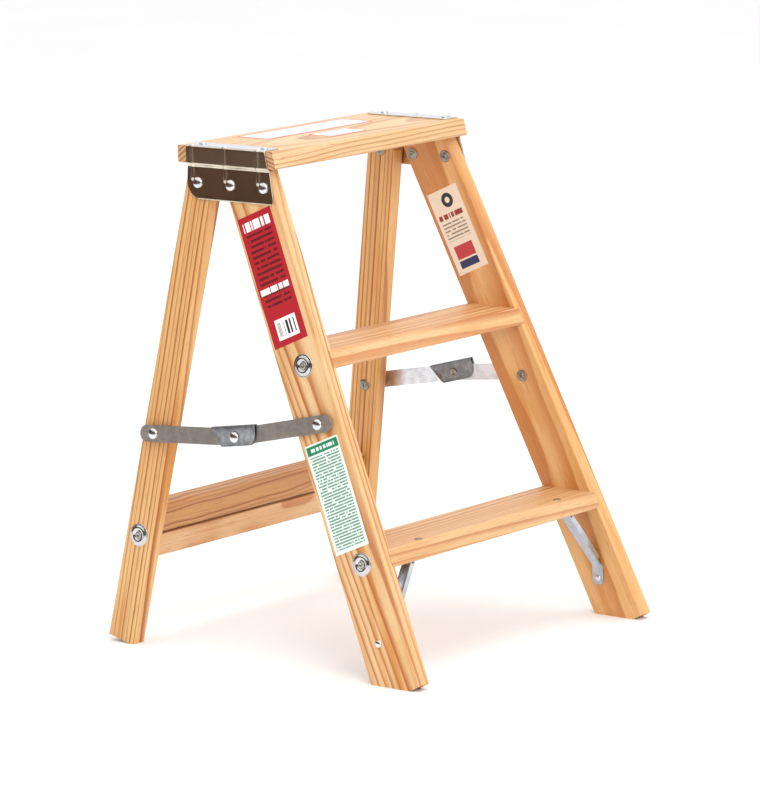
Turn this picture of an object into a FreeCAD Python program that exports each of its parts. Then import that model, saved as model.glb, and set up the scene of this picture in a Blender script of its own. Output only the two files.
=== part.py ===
import FreeCAD, Part
import os
from math import atan, cos, degrees, hypot, radians, sin, tan, atan2, sqrt

os.makedirs("parts", exist_ok=True)

# Wooden step ladder, millimetres.
# +Z up, floor at z = 0, X across the ladder, the climbing side faces -Y.
# Every side piece is built for the left (-X) side and mirrored to the right.

# Overall sizes
height = 562.0  # floor to the top face of the board
foot_spread = 445.0  # front toe to rear heel
top_width = 331.4  # over the outer rail faces at the height of the board
splay = 0.086  # outward lean of the sides, mm per mm of drop

# Stock timber
plank = 19.0  # thickness of every board
rail_width = 63.5
leg_width = 38.0
rail_at_top = 18.46  # y of the rails' front line at the height of the board's top
leg_at_top = 118.25  # y of the legs' rear line at the height of the board's top
rail_top_gap = 2.6  # the rail's top falls away from the board towards the front
rail_top_run = 24.0
edge_round = 1.8

# Top board
board_length = 340.0
board_depth = 135.0
board_bevel = 4.8
board_front = 0.0

# Feet: square saw cut with a flat trimmed on it
toe_flat = 15.6
toe_rise = 6.8
heel_flat = 6.0
heel_rise = 7.5

# Steps
lower_step_top = 144.5
middle_step_top = 350.6
housing_depth = 4.5

# Truss rods
rod_radius = 2.5
rod_clearance = 0.4
rod_below_step_top = 16.3
rod_from_rail_front = 30.5
cup_radius = 13.0
cup_height = 2.1
cup_hole = 3.0
rod_head_radius = 4.2

# Rear frame
leg_recess = 1.1  # leg face inside the rail face, room to swing behind the plate
rear_rod_height = 124.0
rear_gap = 3.0
upper_strip_width = 33.5
lower_strip_width = 26.0
strip_housing = 4.5

# End plates
sheet = 1.6
plate_rear = 121.8
plate_front_top = 9.8
plate_front_bottom = -2.4
plate_drop = 57.8  # board top to the plate's lower edge
plate_jog = 3.2
plate_rear_radius = 20.0
plate_front_radius = 5.0
flange_depth = 24.0
bead_radius = 3.4
bead_depth = 1.3
bead_drop = 35.0  # board top to the lower end of the ribs
bead_offset = 7.6

# Rivets
crown_gap = 2.0  # rounded top of the legs to the underside of the board
rivet_pitch = 46.8
shank_radius = 3.2
running_clearance = 0.05
head_radius = 6.1
head_height = 2.9
washer_radius = 6.8
washer_height = 1.2
clinch_radius = 3.6
clinch_height = 1.3
pivot_washer_gap = 0.8

# Folding spreaders
bar_width = 19.0
bar_thickness = 1.6
bar_tail = 10.0
cheek_thickness = 1.0
layer_gap = 0.15
cheek_stand_off = 2.4
rear_end_height = 240.6
front_end_height = 273.5
front_end_from_rail_front = 31.0
rear_end_forward = 2.0
knee_fraction = 0.505
knee_sag_left = 0.0380  # left knee below the line between the ends, as a share of that line
knee_sag_right = 0.0175  # right knee above that line
saddle_tilt = 4.5
collar_radius = 6.0
leg_swing_clearance = 1.1
low_head = 1.0

# Foot braces
brace_foot_height = 45.5
brace_foot_from_front = 40.0
brace_step_half = 126.0
brace_step_from_front = 14.5
brace_width = 12.0
brace_flange = 5.5
brace_sheet = 1.8
tab_width = 15.0
tab_length = 27.0
brace_head_radius = 4.6
brace_shank = 2.6

# Paper labels
paper = 0.25

lean = atan(splay)
rail_rake = (rail_at_top + foot_spread / 2.0) / (height - toe_rise)
leg_rake = (foot_spread / 2.0 - leg_at_top) / (height - heel_rise)
plate_bottom = height - plate_drop
bead_end = height - bead_drop
pivot_drop = plank + crown_gap + leg_width / 2.0
rail_span = rail_width * sqrt(1.0 + rail_rake ** 2)
leg_span = leg_width * sqrt(1.0 + leg_rake ** 2)
half_top = top_width / 2.0
board_under = height - plank
swing_limit = degrees(atan(rail_rake) + atan(leg_rake))
X = FreeCAD.Vector(1, 0, 0)
Y = FreeCAD.Vector(0, 1, 0)
Z = FreeCAD.Vector(0, 0, 1)
O = FreeCAD.Vector(0, 0, 0)


def vec(x, y, z):
    return FreeCAD.Vector(x, y, z)


def half_at(z):
    """Half width over the outer rail faces at height z."""
    return half_top + (height - z) * splay




def rail_front(z):
    """Y of the front line of the rails at height z."""
    return -foot_spread / 2.0 + (z - toe_rise) * rail_rake


def rail_rear(z):
    return rail_front(z) + rail_span


def leg_rear(z):
    """Y of the rear line of the legs at height z."""
    return foot_spread / 2.0 - (z - heel_rise) * leg_rake


def leg_front(z):
    return leg_rear(z) - leg_span


def leg_middle(z):
    return leg_rear(z) - leg_span / 2.0


def lay(shape):
    """Stand a piece built flat (x inward from the outer rail face, z up from the top) on the left side."""
    placed = shape.copy()
    placed.rotate(O, Y, degrees(lean))
    placed.translate(vec(-half_top, 0, height))
    return placed


def flat_z(z):
    """Distance along the side plane that reaches height z on the outer face."""
    return (z - height) / cos(lean)


def mirrored(shape):
    return shape.mirror(O, X)


def prism_x(points, x0, x1):
    """Prism with a (y, z) outline, from x0 to x1."""
    corners = [vec(x0, y, z) for y, z in points]
    corners.append(corners[0])
    return Part.Face(Part.makePolygon(corners)).extrude(vec(x1 - x0, 0, 0))


def prism_y(points, y0, y1):
    """Prism with an (x, z) outline, from y0 to y1."""
    corners = [vec(x, y0, z) for x, z in points]
    corners.append(corners[0])
    return Part.Face(Part.makePolygon(corners)).extrude(vec(0, y1 - y0, 0))


def rounded(shape, direction, radius):
    """Round every straight edge that runs along a direction."""
    chosen = []
    for edge in shape.Edges:
        run = edge.Vertexes[-1].Point - edge.Vertexes[0].Point
        if run.Length > 1.0 and abs(run.normalize().dot(direction)) > 0.999:
            chosen.append(edge)
    return shape.makeFillet(radius, chosen)


def turned(profile, base, axis):
    """Solid of revolution: profile is (radius, height) pairs, closed back to the axis."""
    corners = [vec(r, 0, h) for r, h in profile]
    corners.append(corners[0])
    solid = Part.Face(Part.makePolygon(corners)).revolve(O, Z, 360)
    spin = FreeCAD.Rotation(Z, axis)
    solid.Placement = FreeCAD.Placement(base, spin)
    return solid


def dome(radius, rise, base, axis):
    """Low domed rivet head with its flat side at base."""
    profile = [(0.0, 0.0), (radius, 0.0), (radius, rise * 0.28), (radius * 0.86, rise * 0.66)]
    profile += [(radius * 0.60, rise * 0.90), (radius * 0.30, rise * 0.99), (0.0, rise)]
    return turned(profile, base, axis)


def ring(outer, inner, rise, base, axis):
    profile = [(inner, 0.0), (outer, 0.0), (outer, rise * 0.7), (outer - 0.4, rise), (inner, rise)]
    return turned(profile, base, axis)


def rod(radius, start, end):
    return Part.makeCylinder(radius, (end - start).Length, start, end - start)


def fuse(shapes):
    joined = shapes[0]
    for shape in shapes[1:]:
        joined = joined.fuse(shape)
    return joined.removeSplitter()


def group(shapes):
    """Separate solids that share one node."""
    return Part.makeCompound(shapes)


def write(name, shape):
    shape.exportStep("parts/" + name + ".step")
    print(name, len(shape.Solids), round(shape.Volume, 1), shape.isValid())


out_left = vec(-cos(lean), 0, sin(lean))  # outward normal of the left side plane
down_left = vec(-sin(lean), 0, -cos(lean))


def side_point(y, z, out):
    """Point at height z on the left outer rail face, moved outward by out."""
    return vec(-half_at(z), y, z) + out_left * out


# Rails and legs

def plank_flat(front, rear, x0, x1):
    """Board in the flat frame, running well past both ends."""
    low = -60.0
    high = height + 60.0
    points = [(front(low), flat_z(low)), (rear(low), flat_z(low))]
    points += [(rear(high), flat_z(high)), (front(high), flat_z(high))]
    board = prism_x(points, x0, x1)
    along = vec(0, front(high) - front(low), flat_z(high) - flat_z(low)).normalize()
    return lay(rounded(board, along, edge_round))


def block(y0, y1, z0, z1):
    return Part.makeBox(800, y1 - y0, z1 - z0, vec(-400, y0, z0))


def step_blank(top):
    """Step between the rail lines, long enough to be trimmed at both ends."""
    bottom = top - plank
    points = [(rail_front(bottom), bottom), (rail_rear(bottom), bottom)]
    points += [(rail_rear(top), top), (rail_front(top), top)]
    return rounded(prism_x(points, -300, 300), X, edge_round)


def between_sides(inset, y0, y1):
    """Space between two planes that stand inset inward from the outer rail faces."""
    inward = inset / cos(lean)
    low = half_at(-40.0) - inward
    high = half_at(height + 40.0) - inward
    points = [(-low, -40.0), (low, -40.0), (high, height + 40.0), (-high, height + 40.0)]
    return prism_y(points, y0, y1)


rod_lines = [(rail_front(top - rod_below_step_top) + rod_from_rail_front, top - rod_below_step_top)
             for top in (lower_step_top, middle_step_top)]
pivot_y = leg_middle(height - pivot_drop)
pivot_z = height - pivot_drop
fixed_rivets = [(pivot_y - rivet_pitch, pivot_z), (pivot_y - 2.0 * rivet_pitch, pivot_z)]
front_end = (rail_front(front_end_height) + front_end_from_rail_front, front_end_height)
rear_end = (leg_middle(rear_end_height) - rear_end_forward, rear_end_height)
foot_rivet = (rail_front(brace_foot_height) + brace_foot_from_front, brace_foot_height)

steps = []
for top in (lower_step_top, middle_step_top):
    step = step_blank(top).common(between_sides(plank - housing_depth, -400, 400))
    axis_y = rail_front(top - rod_below_step_top) + rod_from_rail_front
    axis_z = top - rod_below_step_top
    reach = rod_radius + rod_clearance
    groove = rod(reach, vec(-300, axis_y, axis_z), vec(300, axis_y, axis_z))
    slot = Part.makeBox(600, 2.0 * reach, 30, vec(-300, axis_y - reach, axis_z - 30))
    steps.append(step.cut(groove.fuse(slot)))

rail = plank_flat(rail_front, rail_rear, 0.0, plank)
rail = rail.common(block(-500, 500, 0.0, board_under))
toe_y = rail_front(0.0) + toe_flat
toe_far = 60.0
toe_slope = toe_rise / (toe_y - rail_front(toe_rise))
toe = prism_x([(toe_y, 0.0), (toe_y, -20.0), (toe_y - toe_far, -20.0), (toe_y - toe_far, toe_far * toe_slope)],
              -400, 400)
rail = rail.cut(toe)
shy = prism_x([(rail_front(board_under) - 40.0, board_under - rail_top_gap * (1.0 + 40.0 / rail_top_run)),
               (rail_front(board_under) + rail_top_run, board_under),
               (rail_front(board_under) - 40.0, board_under)], -400, 400)
rail = rail.cut(shy)
for step in steps:
    rail = rail.cut(step)
for y, z in rod_lines:
    rail = rail.cut(rod(rod_radius + rod_clearance, vec(-300, y, z), vec(-100, y, z)))
for y, z in fixed_rivets + [front_end, foot_rivet]:
    bore = shank_radius if (y, z) != foot_rivet else brace_shank
    rail = rail.cut(rod(bore + running_clearance, side_point(y, z, 20), side_point(y, z, -40)))

leg_inner = leg_recess + plank - 1.0
leg = plank_flat(leg_front, leg_rear, leg_recess, leg_inner)
leg = leg.common(block(-500, 500, 0.0, height))
heel_y = leg_front(0.0) + heel_flat
heel_far = 60.0
heel_slope = heel_rise / (leg_rear(heel_rise) - heel_y)
heel = prism_x([(heel_y, 0.0), (heel_y, -20.0), (heel_y + heel_far, -20.0), (heel_y + heel_far, heel_far * heel_slope)],
               -400, 400)
leg = leg.cut(heel)
top_radius = leg_width / 2.0
crown = rod(top_radius, vec(-400, pivot_y, pivot_z), vec(0, pivot_y, pivot_z))
above = block(-500, 500, pivot_z, height + 80)
leg = leg.cut(above.cut(crown))

# Rear strips lie between the legs, parallel to their edges
leg_lean = atan(leg_rake)
rear_rod_y = leg_middle(rear_rod_height)
strips = []
for low, high in ((rear_gap / 2.0, rear_gap / 2.0 + upper_strip_width),
                  (-rear_gap / 2.0 - lower_strip_width, -rear_gap / 2.0)):
    strip = Part.makeBox(600, plank, high - low, vec(-300, -plank / 2.0, low))
    strip = rounded(strip, X, 1.0)
    strip.rotate(O, X, degrees(leg_lean))
    strip.translate(vec(0, rear_rod_y, rear_rod_height))
    strip = strip.common(between_sides(leg_inner - strip_housing, -400, 400))
    channel = rod(rod_radius + rod_clearance, vec(-300, rear_rod_y, rear_rod_height),
                  vec(300, rear_rod_y, rear_rod_height))
    strips.append(strip.cut(channel))
for strip in strips:
    leg = leg.cut(strip)
leg = leg.cut(rod(rod_radius + rod_clearance, vec(-300, rear_rod_y, rear_rod_height),
                  vec(-100, rear_rod_y, rear_rod_height)))
leg = leg.cut(rod(shank_radius + running_clearance, vec(-300, pivot_y, pivot_z), vec(-100, pivot_y, pivot_z)))

# Top board
board = prism_x([(board_front, height), (board_front - board_bevel, board_under),
                 (board_front + board_depth, board_under), (board_front + board_depth, height)],
                -board_length / 2.0, board_length / 2.0)
board = rounded(board, X, edge_round)

# End plate: flange on the board, face down its end, jog inward, apron over rail and leg
end_x = board_length / 2.0
jog_z = board_under - plate_jog
low_z = plate_bottom - 10.0
inner_line = [(-end_x + flange_depth - sheet, height), (-end_x, height), (-end_x, board_under)]
inner_line += [(-half_at(jog_z), jog_z), (-half_at(low_z), low_z)]
outer_line = [(-end_x + flange_depth - sheet, height + sheet), (-end_x - sheet * 0.4, height + sheet)]
outer_line += [(-end_x - sheet, height + sheet * 0.4), (-end_x - sheet, board_under)]
outer_line += [(-half_at(jog_z) - sheet, jog_z - 0.4), (-half_at(low_z) - sheet, low_z)]
section = inner_line + outer_line[::-1]
plate = prism_y(section, -40, 180)
core = prism_y([(0, low_z), (0, height)] + inner_line[1:], -60, 200)
front_run = (plate_front_bottom - plate_front_top) / (plate_bottom - height)


def front_edge(z):
    return plate_front_top + (z - height) * front_run


rr = plate_rear_radius
fr = plate_front_radius
rear_mid = rr * (1.0 - sin(radians(45)))
front_mid = fr * (1.0 - sin(radians(45)))
ceiling = height + 10.0
corner_y = front_edge(plate_bottom)
edges = [Part.makeLine(vec(-300, plate_rear, ceiling), vec(-300, plate_rear, plate_bottom + rr))]
edges.append(Part.Arc(vec(-300, plate_rear, plate_bottom + rr),
                      vec(-300, plate_rear - rear_mid, plate_bottom + rear_mid),
                      vec(-300, plate_rear - rr, plate_bottom)).toShape())
edges.append(Part.makeLine(vec(-300, plate_rear - rr, plate_bottom), vec(-300, corner_y + fr, plate_bottom)))
edges.append(Part.Arc(vec(-300, corner_y + fr, plate_bottom),
                      vec(-300, corner_y + front_mid + 0.3, plate_bottom + front_mid),
                      vec(-300, front_edge(plate_bottom + fr), plate_bottom + fr)).toShape())
edges.append(Part.makeLine(vec(-300, front_edge(plate_bottom + fr), plate_bottom + fr),
                           vec(-300, front_edge(ceiling), ceiling)))
edges.append(Part.makeLine(vec(-300, front_edge(ceiling), ceiling), vec(-300, plate_rear, ceiling)))
outline = Part.Face(Part.Wire(edges)).extrude(vec(300, 0, 0))
plate = plate.common(outline)
for place in range(3):
    bead_y = pivot_y - place * rivet_pitch + bead_offset
    sink = bead_radius - bead_depth
    top_point = vec(-end_x - sheet + sink, bead_y, height - 2.0)
    knee_point = vec(-end_x - sheet + sink, bead_y, board_under)
    mid_point = vec(-half_at(jog_z) - sheet + sink, bead_y, jog_z)
    low_point = vec(-half_at(bead_end) - sheet + sink, bead_y, bead_end)
    bead = rod(bead_radius, top_point, knee_point)
    for start, end in ((knee_point, mid_point), (mid_point, low_point)):
        bead = bead.fuse(rod(bead_radius, start, end))
    for point in (top_point, knee_point, mid_point, low_point):
        bead = bead.fuse(Part.makeSphere(bead_radius, point))
    plate = plate.fuse(bead.cut(core).cut(rail).cut(leg))
plate = plate.removeSplitter()
for y, z in fixed_rivets:
    plate = plate.cut(rod(shank_radius + running_clearance, side_point(y, z, 20), side_point(y, z, -20)))
plate = plate.cut(rod(shank_radius + running_clearance, vec(-300, pivot_y, pivot_z), vec(-100, pivot_y, pivot_z)))
nail_places = []
for nail_y in (plate_front_top + 9.0, plate_rear - 15.0):
    nail_places.append((-end_x + flange_depth / 2.0 - sheet, nail_y))
nails = []
for x, y in nail_places:
    hole = rod(1.75, vec(x, y, height - 16.0), vec(x, y, height + 8.0))
    plate = plate.cut(hole)
    board = board.cut(hole).cut(mirrored(hole))
    nail = rod(1.7, vec(x, y, height - 15.0), vec(x, y, height + sheet + 0.3))
    nail = nail.fuse(dome(4.2, 1.7, vec(x, y, height + sheet), Z))
    nails += [nail, mirrored(nail)]

# Rivets through plate and rail, and the two that carry the rear legs
plate_rivets = []
washers = []
for y, z in fixed_rivets:
    rivet = rod(shank_radius, side_point(y, z, sheet + 0.2), side_point(y, z, -plank - washer_height - 0.2))
    rivet = rivet.fuse(dome(head_radius, head_height, side_point(y, z, sheet), out_left))
    rivet = rivet.fuse(dome(clinch_radius, clinch_height, side_point(y, z, -plank - washer_height), -out_left))
    washer = ring(washer_radius, shank_radius + running_clearance, washer_height,
                  side_point(y, z, -plank), -out_left)
    plate_rivets += [rivet, mirrored(rivet)]
    washers += [washer, mirrored(washer)]
leg_inside = leg_inner + pivot_washer_gap
outer_end = vec(side_point(pivot_y, pivot_z, sheet + 0.2).x, pivot_y, pivot_z)
inner_end = half_at(pivot_z) - (leg_inside + washer_height * 0.5) / cos(lean)
pivot = rod(shank_radius, outer_end, vec(-inner_end, pivot_y, pivot_z))
pivot = pivot.fuse(dome(head_radius, head_height, side_point(pivot_y, pivot_z, sheet), out_left))
inner_point = side_point(pivot_y, pivot_z, 0.0) + X * (leg_inside / cos(lean))
pivot = pivot.fuse(ring(washer_radius, 0.0, washer_height, inner_point, -out_left))
pivot = pivot.fuse(dome(clinch_radius, clinch_height, inner_point - out_left * washer_height, -out_left))
pivot_rivets = [pivot, mirrored(pivot)]


# Truss rods with dished washers
def cup(base, axis):
    profile = [(cup_hole, 0.0), (cup_radius, 0.0), (cup_radius - 0.5, cup_height * 0.45)]
    profile += [(cup_radius - 2.2, cup_height * 0.90), (cup_radius - 4.0, cup_height), (cup_radius - 5.6, cup_height * 0.86)]
    profile += [(rod_head_radius + 1.3, 0.8), (cup_hole, 0.7)]
    return turned(profile, base, axis)


def truss(y, z, face):
    """Rod across the ladder; face is how far its washers sit inside the rail face."""
    base = side_point(y, z, -face)
    bar = rod(rod_radius, vec(base.x - 0.9, y, z), vec(-base.x + 0.9, y, z))
    head = turned([(0.0, 0.0), (rod_head_radius, 0.0), (rod_head_radius, 0.5), (rod_head_radius - 1.2, 1.1),
                   (0.0, 1.3)], base + out_left * 0.75, out_left)
    return bar.fuse(head).fuse(mirrored(head)), [cup(base, out_left), mirrored(cup(base, out_left))]


front_rods = []
front_cups = []
for y, z in rod_lines:
    bar, pair = truss(y, z, 0.0)
    front_rods.append(bar)
    front_cups += pair
rear_rod, rear_cups = truss(rear_rod_y, rear_rod_height, leg_recess)

# Foot braces: channel from the rail to the underside of the lower step
base = side_point(foot_rivet[0], foot_rivet[1], -plank)
up_left = -down_left
lower_under = lower_step_top - plank
step_y = rail_front(lower_under) + brace_step_from_front
step_point = vec(-brace_step_half, step_y, lower_under)
tab = Part.makeBox(brace_sheet, tab_width, tab_length, vec(0, -tab_width / 2.0, -tab_width / 2.0))
tab = rounded(tab, X, 6.0)
tab.rotate(O, Y, degrees(lean))
tab.translate(base)
pad = Part.makeBox(tab_length, tab_width, brace_sheet, vec(-tab_length + tab_width / 2.0, -tab_width / 2.0, -brace_sheet))
pad = rounded(pad, Z, 6.0)
pad.translate(step_point)
low_joint = base + up_left * 14.0 - out_left * (brace_sheet * 0.5)
high_joint = step_point + vec(-14.0, 0, -brace_sheet * 0.5)
run = high_joint - low_joint
length = run.Length
web = Part.makeBox(brace_sheet, brace_width, length, vec(-brace_sheet / 2.0, -brace_width / 2.0, 0))
wing = Part.makeBox(brace_flange, brace_sheet, length - 16.0, vec(-brace_flange, -brace_width / 2.0, 10.0))
channel = web.fuse(wing).fuse(wing.translated(vec(0, brace_width - brace_sheet, 0)))
channel.Placement = FreeCAD.Placement(low_joint, FreeCAD.Rotation(Z, run))
inside_rails = between_sides(plank, -400, 400)
under_step = block(-400, 400, 0, lower_under)
channel = channel.common(inside_rails).common(under_step)
brace = fuse([tab, channel, pad])
bore = rod(brace_shank + running_clearance, base + out_left * 5, base - out_left * 8)
brace = brace.cut(bore)
hole = rod(brace_shank + running_clearance, step_point - Z * 8, step_point + Z * (plank + 5))
brace = brace.cut(hole)
steps[0] = steps[0].cut(hole).cut(mirrored(hole))
outer = side_point(foot_rivet[0], foot_rivet[1], 0.0)
foot_pin = rod(brace_shank, outer + out_left * 0.3, base - out_left * (brace_sheet + 0.3))
foot_pin = foot_pin.fuse(dome(4.2, 2.2, outer, out_left))
foot_pin = foot_pin.fuse(dome(3.6, 1.4, base - out_left * brace_sheet, -out_left))
step_pin = rod(brace_shank, step_point - Z * (brace_sheet + 0.3), step_point + Z * (plank + 0.2))
step_pin = step_pin.fuse(dome(brace_head_radius, 1.0, step_point + Z * plank, Z))
step_pin = step_pin.fuse(dome(3.6, 1.4, step_point - Z * brace_sheet, -Z))

# Folding spreaders, built in the left side plane
inner_layer = cheek_stand_off + cheek_thickness + layer_gap
outer_layer = inner_layer + bar_thickness + layer_gap
cheek_outer = outer_layer + bar_thickness
half_bar = bar_width / 2.0


def in_plane(point):
    """Side-plane coordinates (y, up along the plane) of a (y, z) point."""
    return point[0], flat_z(point[1])


def knee_point_for(side):
    """Knee near the line between the ends: above it on the right (+1), below it on the left (-1)."""
    sag = knee_sag_right if side > 0 else -knee_sag_left
    ay, av = in_plane(rear_end)
    by, bv = in_plane(front_end)
    dy = by - ay
    dv = bv - av
    my = ay + dy * knee_fraction
    mv = av + dv * knee_fraction
    return my + sag * dv, mv - sag * dy


def slab(points, x_out, thickness):
    """Flat piece in the side plane: (y, v) outline, inner face x_out off the rail face."""
    corners = [vec(-x_out, y, v) for y, v in points]
    corners.append(corners[0])
    return Part.Face(Part.makePolygon(corners)).extrude(vec(-thickness, 0, 0))


def disc(y, v, radius, x_out, thickness):
    return Part.makeCylinder(radius, thickness, vec(-x_out, y, v), -X)


def link(p, q, x_out, thickness):
    """Bar from p to q with full-round ends; its p end runs on past the rivet by the tail."""
    dy = q[0] - p[0]
    dv = q[1] - p[1]
    span = hypot(dy, dv)
    uy, uv = dy / span, dv / span
    ny, nv = -uv, uy
    py, pv = p[0] - uy * bar_tail, p[1] - uv * bar_tail
    points = [(py + ny * half_bar, pv + nv * half_bar), (py - ny * half_bar, pv - nv * half_bar)]
    points += [(q[0] - ny * half_bar, q[1] - nv * half_bar), (q[0] + ny * half_bar, q[1] + nv * half_bar)]
    bar = slab(points, x_out, thickness)
    bar = bar.fuse(disc(py, pv, half_bar, x_out, thickness))
    bar = bar.fuse(disc(q[0], q[1], half_bar, x_out, thickness))
    return bar.removeSplitter()


def flat_dome(radius, rise, y, v, x_out):
    return dome(radius, rise, vec(-x_out, y, v), -X)


def spreader(side):
    """Pieces of one spreader in the side plane, laid on the left side."""
    a = in_plane(rear_end)
    b = in_plane(front_end)
    k = knee_point_for(side)
    hole = shank_radius + running_clearance
    front_bar = link(b, k, inner_layer, bar_thickness)
    front_bar = front_bar.cut(disc(b[0], b[1], hole, 0, 20)).cut(disc(k[0], k[1], hole, 0, 20))
    rear_bar = link(a, k, outer_layer, bar_thickness)
    rear_bar = rear_bar.cut(disc(a[0], a[1], hole, 0, 20)).cut(disc(k[0], k[1], hole, 0, 20))
    angle = atan2(a[1] - k[1], a[0] - k[0]) - radians(saddle_tilt)
    along = (cos(angle), sin(angle))
    across = (-sin(angle), cos(angle))

    def at(s, t):
        return k[0] + along[0] * s + across[0] * t, k[1] + along[1] * s + across[1] * t

    top = 13.2
    low = -9.8
    shape = [at(32.5, top), at(20.5, low), at(-14.0, low), at(-20.5, low + 1.7), at(-25.5, low + 6.2),
             at(-28.5, low + 12.5), at(-29.5, top)]
    web_low = top - cheek_thickness
    web_line = [at(32.5, top), at(32.5 - 0.5, web_low), at(-29.4, web_low), at(-29.5, top)]
    depth = cheek_outer + cheek_thickness - cheek_stand_off
    saddle = slab(shape, cheek_stand_off, cheek_thickness)
    saddle = saddle.fuse(slab(shape, cheek_outer, cheek_thickness))
    saddle = saddle.fuse(slab(web_line, cheek_stand_off, depth)).removeSplitter()
    saddle = saddle.cut(disc(k[0], k[1], hole, 0, 30))
    outside = cheek_outer + cheek_thickness
    knee_rivet = disc(k[0], k[1], shank_radius, cheek_stand_off - 0.2, depth + 0.4)
    knee_rivet = knee_rivet.fuse(flat_dome(head_radius, head_height, k[0], k[1], outside))
    knee_rivet = knee_rivet.fuse(disc(k[0], k[1], 5.2, cheek_stand_off - low_head, low_head))
    rear_top = outer_layer + bar_thickness
    rear_rivet = disc(a[0], a[1], shank_radius, leg_swing_clearance, rear_top + 0.3 - leg_swing_clearance)
    rear_rivet = rear_rivet.fuse(flat_dome(head_radius, head_height, a[0], a[1], rear_top))
    rear_collar = disc(a[0], a[1], collar_radius, leg_swing_clearance, outer_layer - leg_swing_clearance)
    rear_collar = rear_collar.cut(disc(a[0], a[1], hole, 0, 20))
    front_top = inner_layer + bar_thickness
    front_rivet = disc(b[0], b[1], shank_radius, -plank - washer_height, front_top + layer_gap + plank + washer_height)
    front_rivet = front_rivet.fuse(flat_dome(head_radius, head_height, b[0], b[1], front_top + layer_gap))
    front_collar = disc(b[0], b[1], collar_radius, 0, inner_layer - layer_gap)
    front_collar = front_collar.cut(disc(b[0], b[1], hole, -1, 20))
    pieces = {"front_bar": front_bar, "rear_bar": rear_bar, "saddle": saddle, "knee_rivet": knee_rivet,
              "rear_rivet": rear_rivet, "rear_collar": rear_collar, "front_rivet": front_rivet,
              "front_collar": front_collar}
    return {name: lay(shape.removeSplitter()) for name, shape in pieces.items()}


left = spreader(-1)
right = {name: mirrored(shape) for name, shape in spreader(1).items()}
front_inner = side_point(front_end[0], front_end[1], -plank)
front_washer = ring(washer_radius, shank_radius + running_clearance, washer_height, front_inner, -out_left)
front_clinch = dome(clinch_radius, clinch_height, front_inner - out_left * washer_height, -out_left)
rear_inner = side_point(rear_end[0], rear_end[1], -leg_inner)
rear_clinch = ring(washer_radius, 0.0, washer_height, rear_inner, -out_left)
rear_clinch = rear_clinch.fuse(dome(clinch_radius, clinch_height, rear_inner - out_left * washer_height, -out_left))


# Paper labels, aligned with the rails
def rail_label(drop0, drop1, from_front, width, outside):
    """Label on a left rail; drops are heights at its two ends, from_front its centre line."""
    along = vec(0, rail_front(drop1) - rail_front(drop0), flat_z(drop1) - flat_z(drop0)).normalize()
    across = vec(0, -along.z, along.y)
    if across.y < 0:
        across = across * -1
    sheets = []
    for height_at in (drop0, drop1):
        offset = from_front * sqrt(1.0 + rail_rake ** 2)
        sheets.append(vec(0, rail_front(height_at) + offset, flat_z(height_at)))
    half = width / 2.0
    face_x = 0.0 if outside else plank
    toward = -paper if outside else paper
    corners = [sheets[0] + across * half, sheets[0] - across * half, sheets[1] - across * half, sheets[1] + across * half]
    corners = [vec(face_x, c.y, c.z) for c in corners]
    corners.append(corners[0])
    return lay(Part.Face(Part.makePolygon(corners)).extrude(vec(toward, 0, 0)))


red_label = rail_label(494.0, 357.5, 35.0, 49.0, True)
green_label = rail_label(255.5, 142.5, 34.5, 48.0, True)
inner_label = mirrored(rail_label(483.0, 392.0, 34.5, 46.0, False))
board_label = Part.makeBox(186, 46, paper, vec(-86, 76, height))
board_sticker = Part.makeBox(62, 34, paper, vec(-30, 30, height))

write("top_board", board)
write("left_front_rail", rail)
write("right_front_rail", mirrored(rail))
write("lower_step", steps[0])
write("middle_step", steps[1])
write("left_end_plate", plate)
write("right_end_plate", mirrored(plate))
write("plate_rivets", group(plate_rivets))
write("plate_rivet_washers", group(washers))
write("pivot_rivets", group(pivot_rivets))
write("flange_nails", group(nails))
write("front_truss_rods", group(front_rods))
write("front_truss_washers", group(front_cups))
write("left_foot_brace", brace)
write("right_foot_brace", mirrored(brace))
write("brace_foot_rivets", group([foot_pin, mirrored(foot_pin)]))
write("brace_step_rivets", group([step_pin, mirrored(step_pin)]))
write("left_rear_leg", leg)
write("right_rear_leg", mirrored(leg))
write("upper_rear_strip", strips[0])
write("lower_rear_strip", strips[1])
write("rear_truss_rod", rear_rod)
write("rear_truss_washers", group(rear_cups))
write("leg_clinch_washers", group([rear_clinch, mirrored(rear_clinch)]))
write("spreader_front_rivets", group([left["front_rivet"].fuse(front_clinch),
                                      right["front_rivet"].fuse(mirrored(front_clinch))]))
write("spreader_front_collars", group([left["front_collar"], right["front_collar"]]))
write("spreader_front_washers", group([front_washer, mirrored(front_washer)]))
for name, pieces in (("left", left), ("right", right)):
    for key in ("front_bar", "rear_bar", "saddle", "knee_rivet", "rear_rivet", "rear_collar"):
        write(name + "_spreader_" + key, pieces[key])
write("left_rail_upper_label", red_label)
write("left_rail_lower_label", green_label)
write("right_rail_inner_label", inner_label)
write("board_label", board_label)
write("board_sticker", board_sticker)

# Joint data for the record, metres and degrees
fold = radians(swing_limit)
a0 = vec(0, rear_end[0] - pivot_y, rear_end[1] - pivot_z)
a1 = vec(0, a0.y * cos(fold) + a0.z * sin(fold), -a0.y * sin(fold) + a0.z * cos(fold))
folded_end = (pivot_y + a1.y, pivot_z + a1.z)


def folded_knee(length_a, length_b):
    """Knee position when the legs are closed, above the bars' ends."""
    a = in_plane(folded_end)
    b = in_plane(front_end)
    dy, dv = a[0] - b[0], a[1] - b[1]
    span = hypot(dy, dv)
    along = (length_b ** 2 - length_a ** 2 + span ** 2) / (2.0 * span)
    rise = sqrt(length_b ** 2 - along ** 2)
    return b[0] + dy / span * along - dv / span * rise, b[1] + dv / span * along + dy / span * rise


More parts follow.
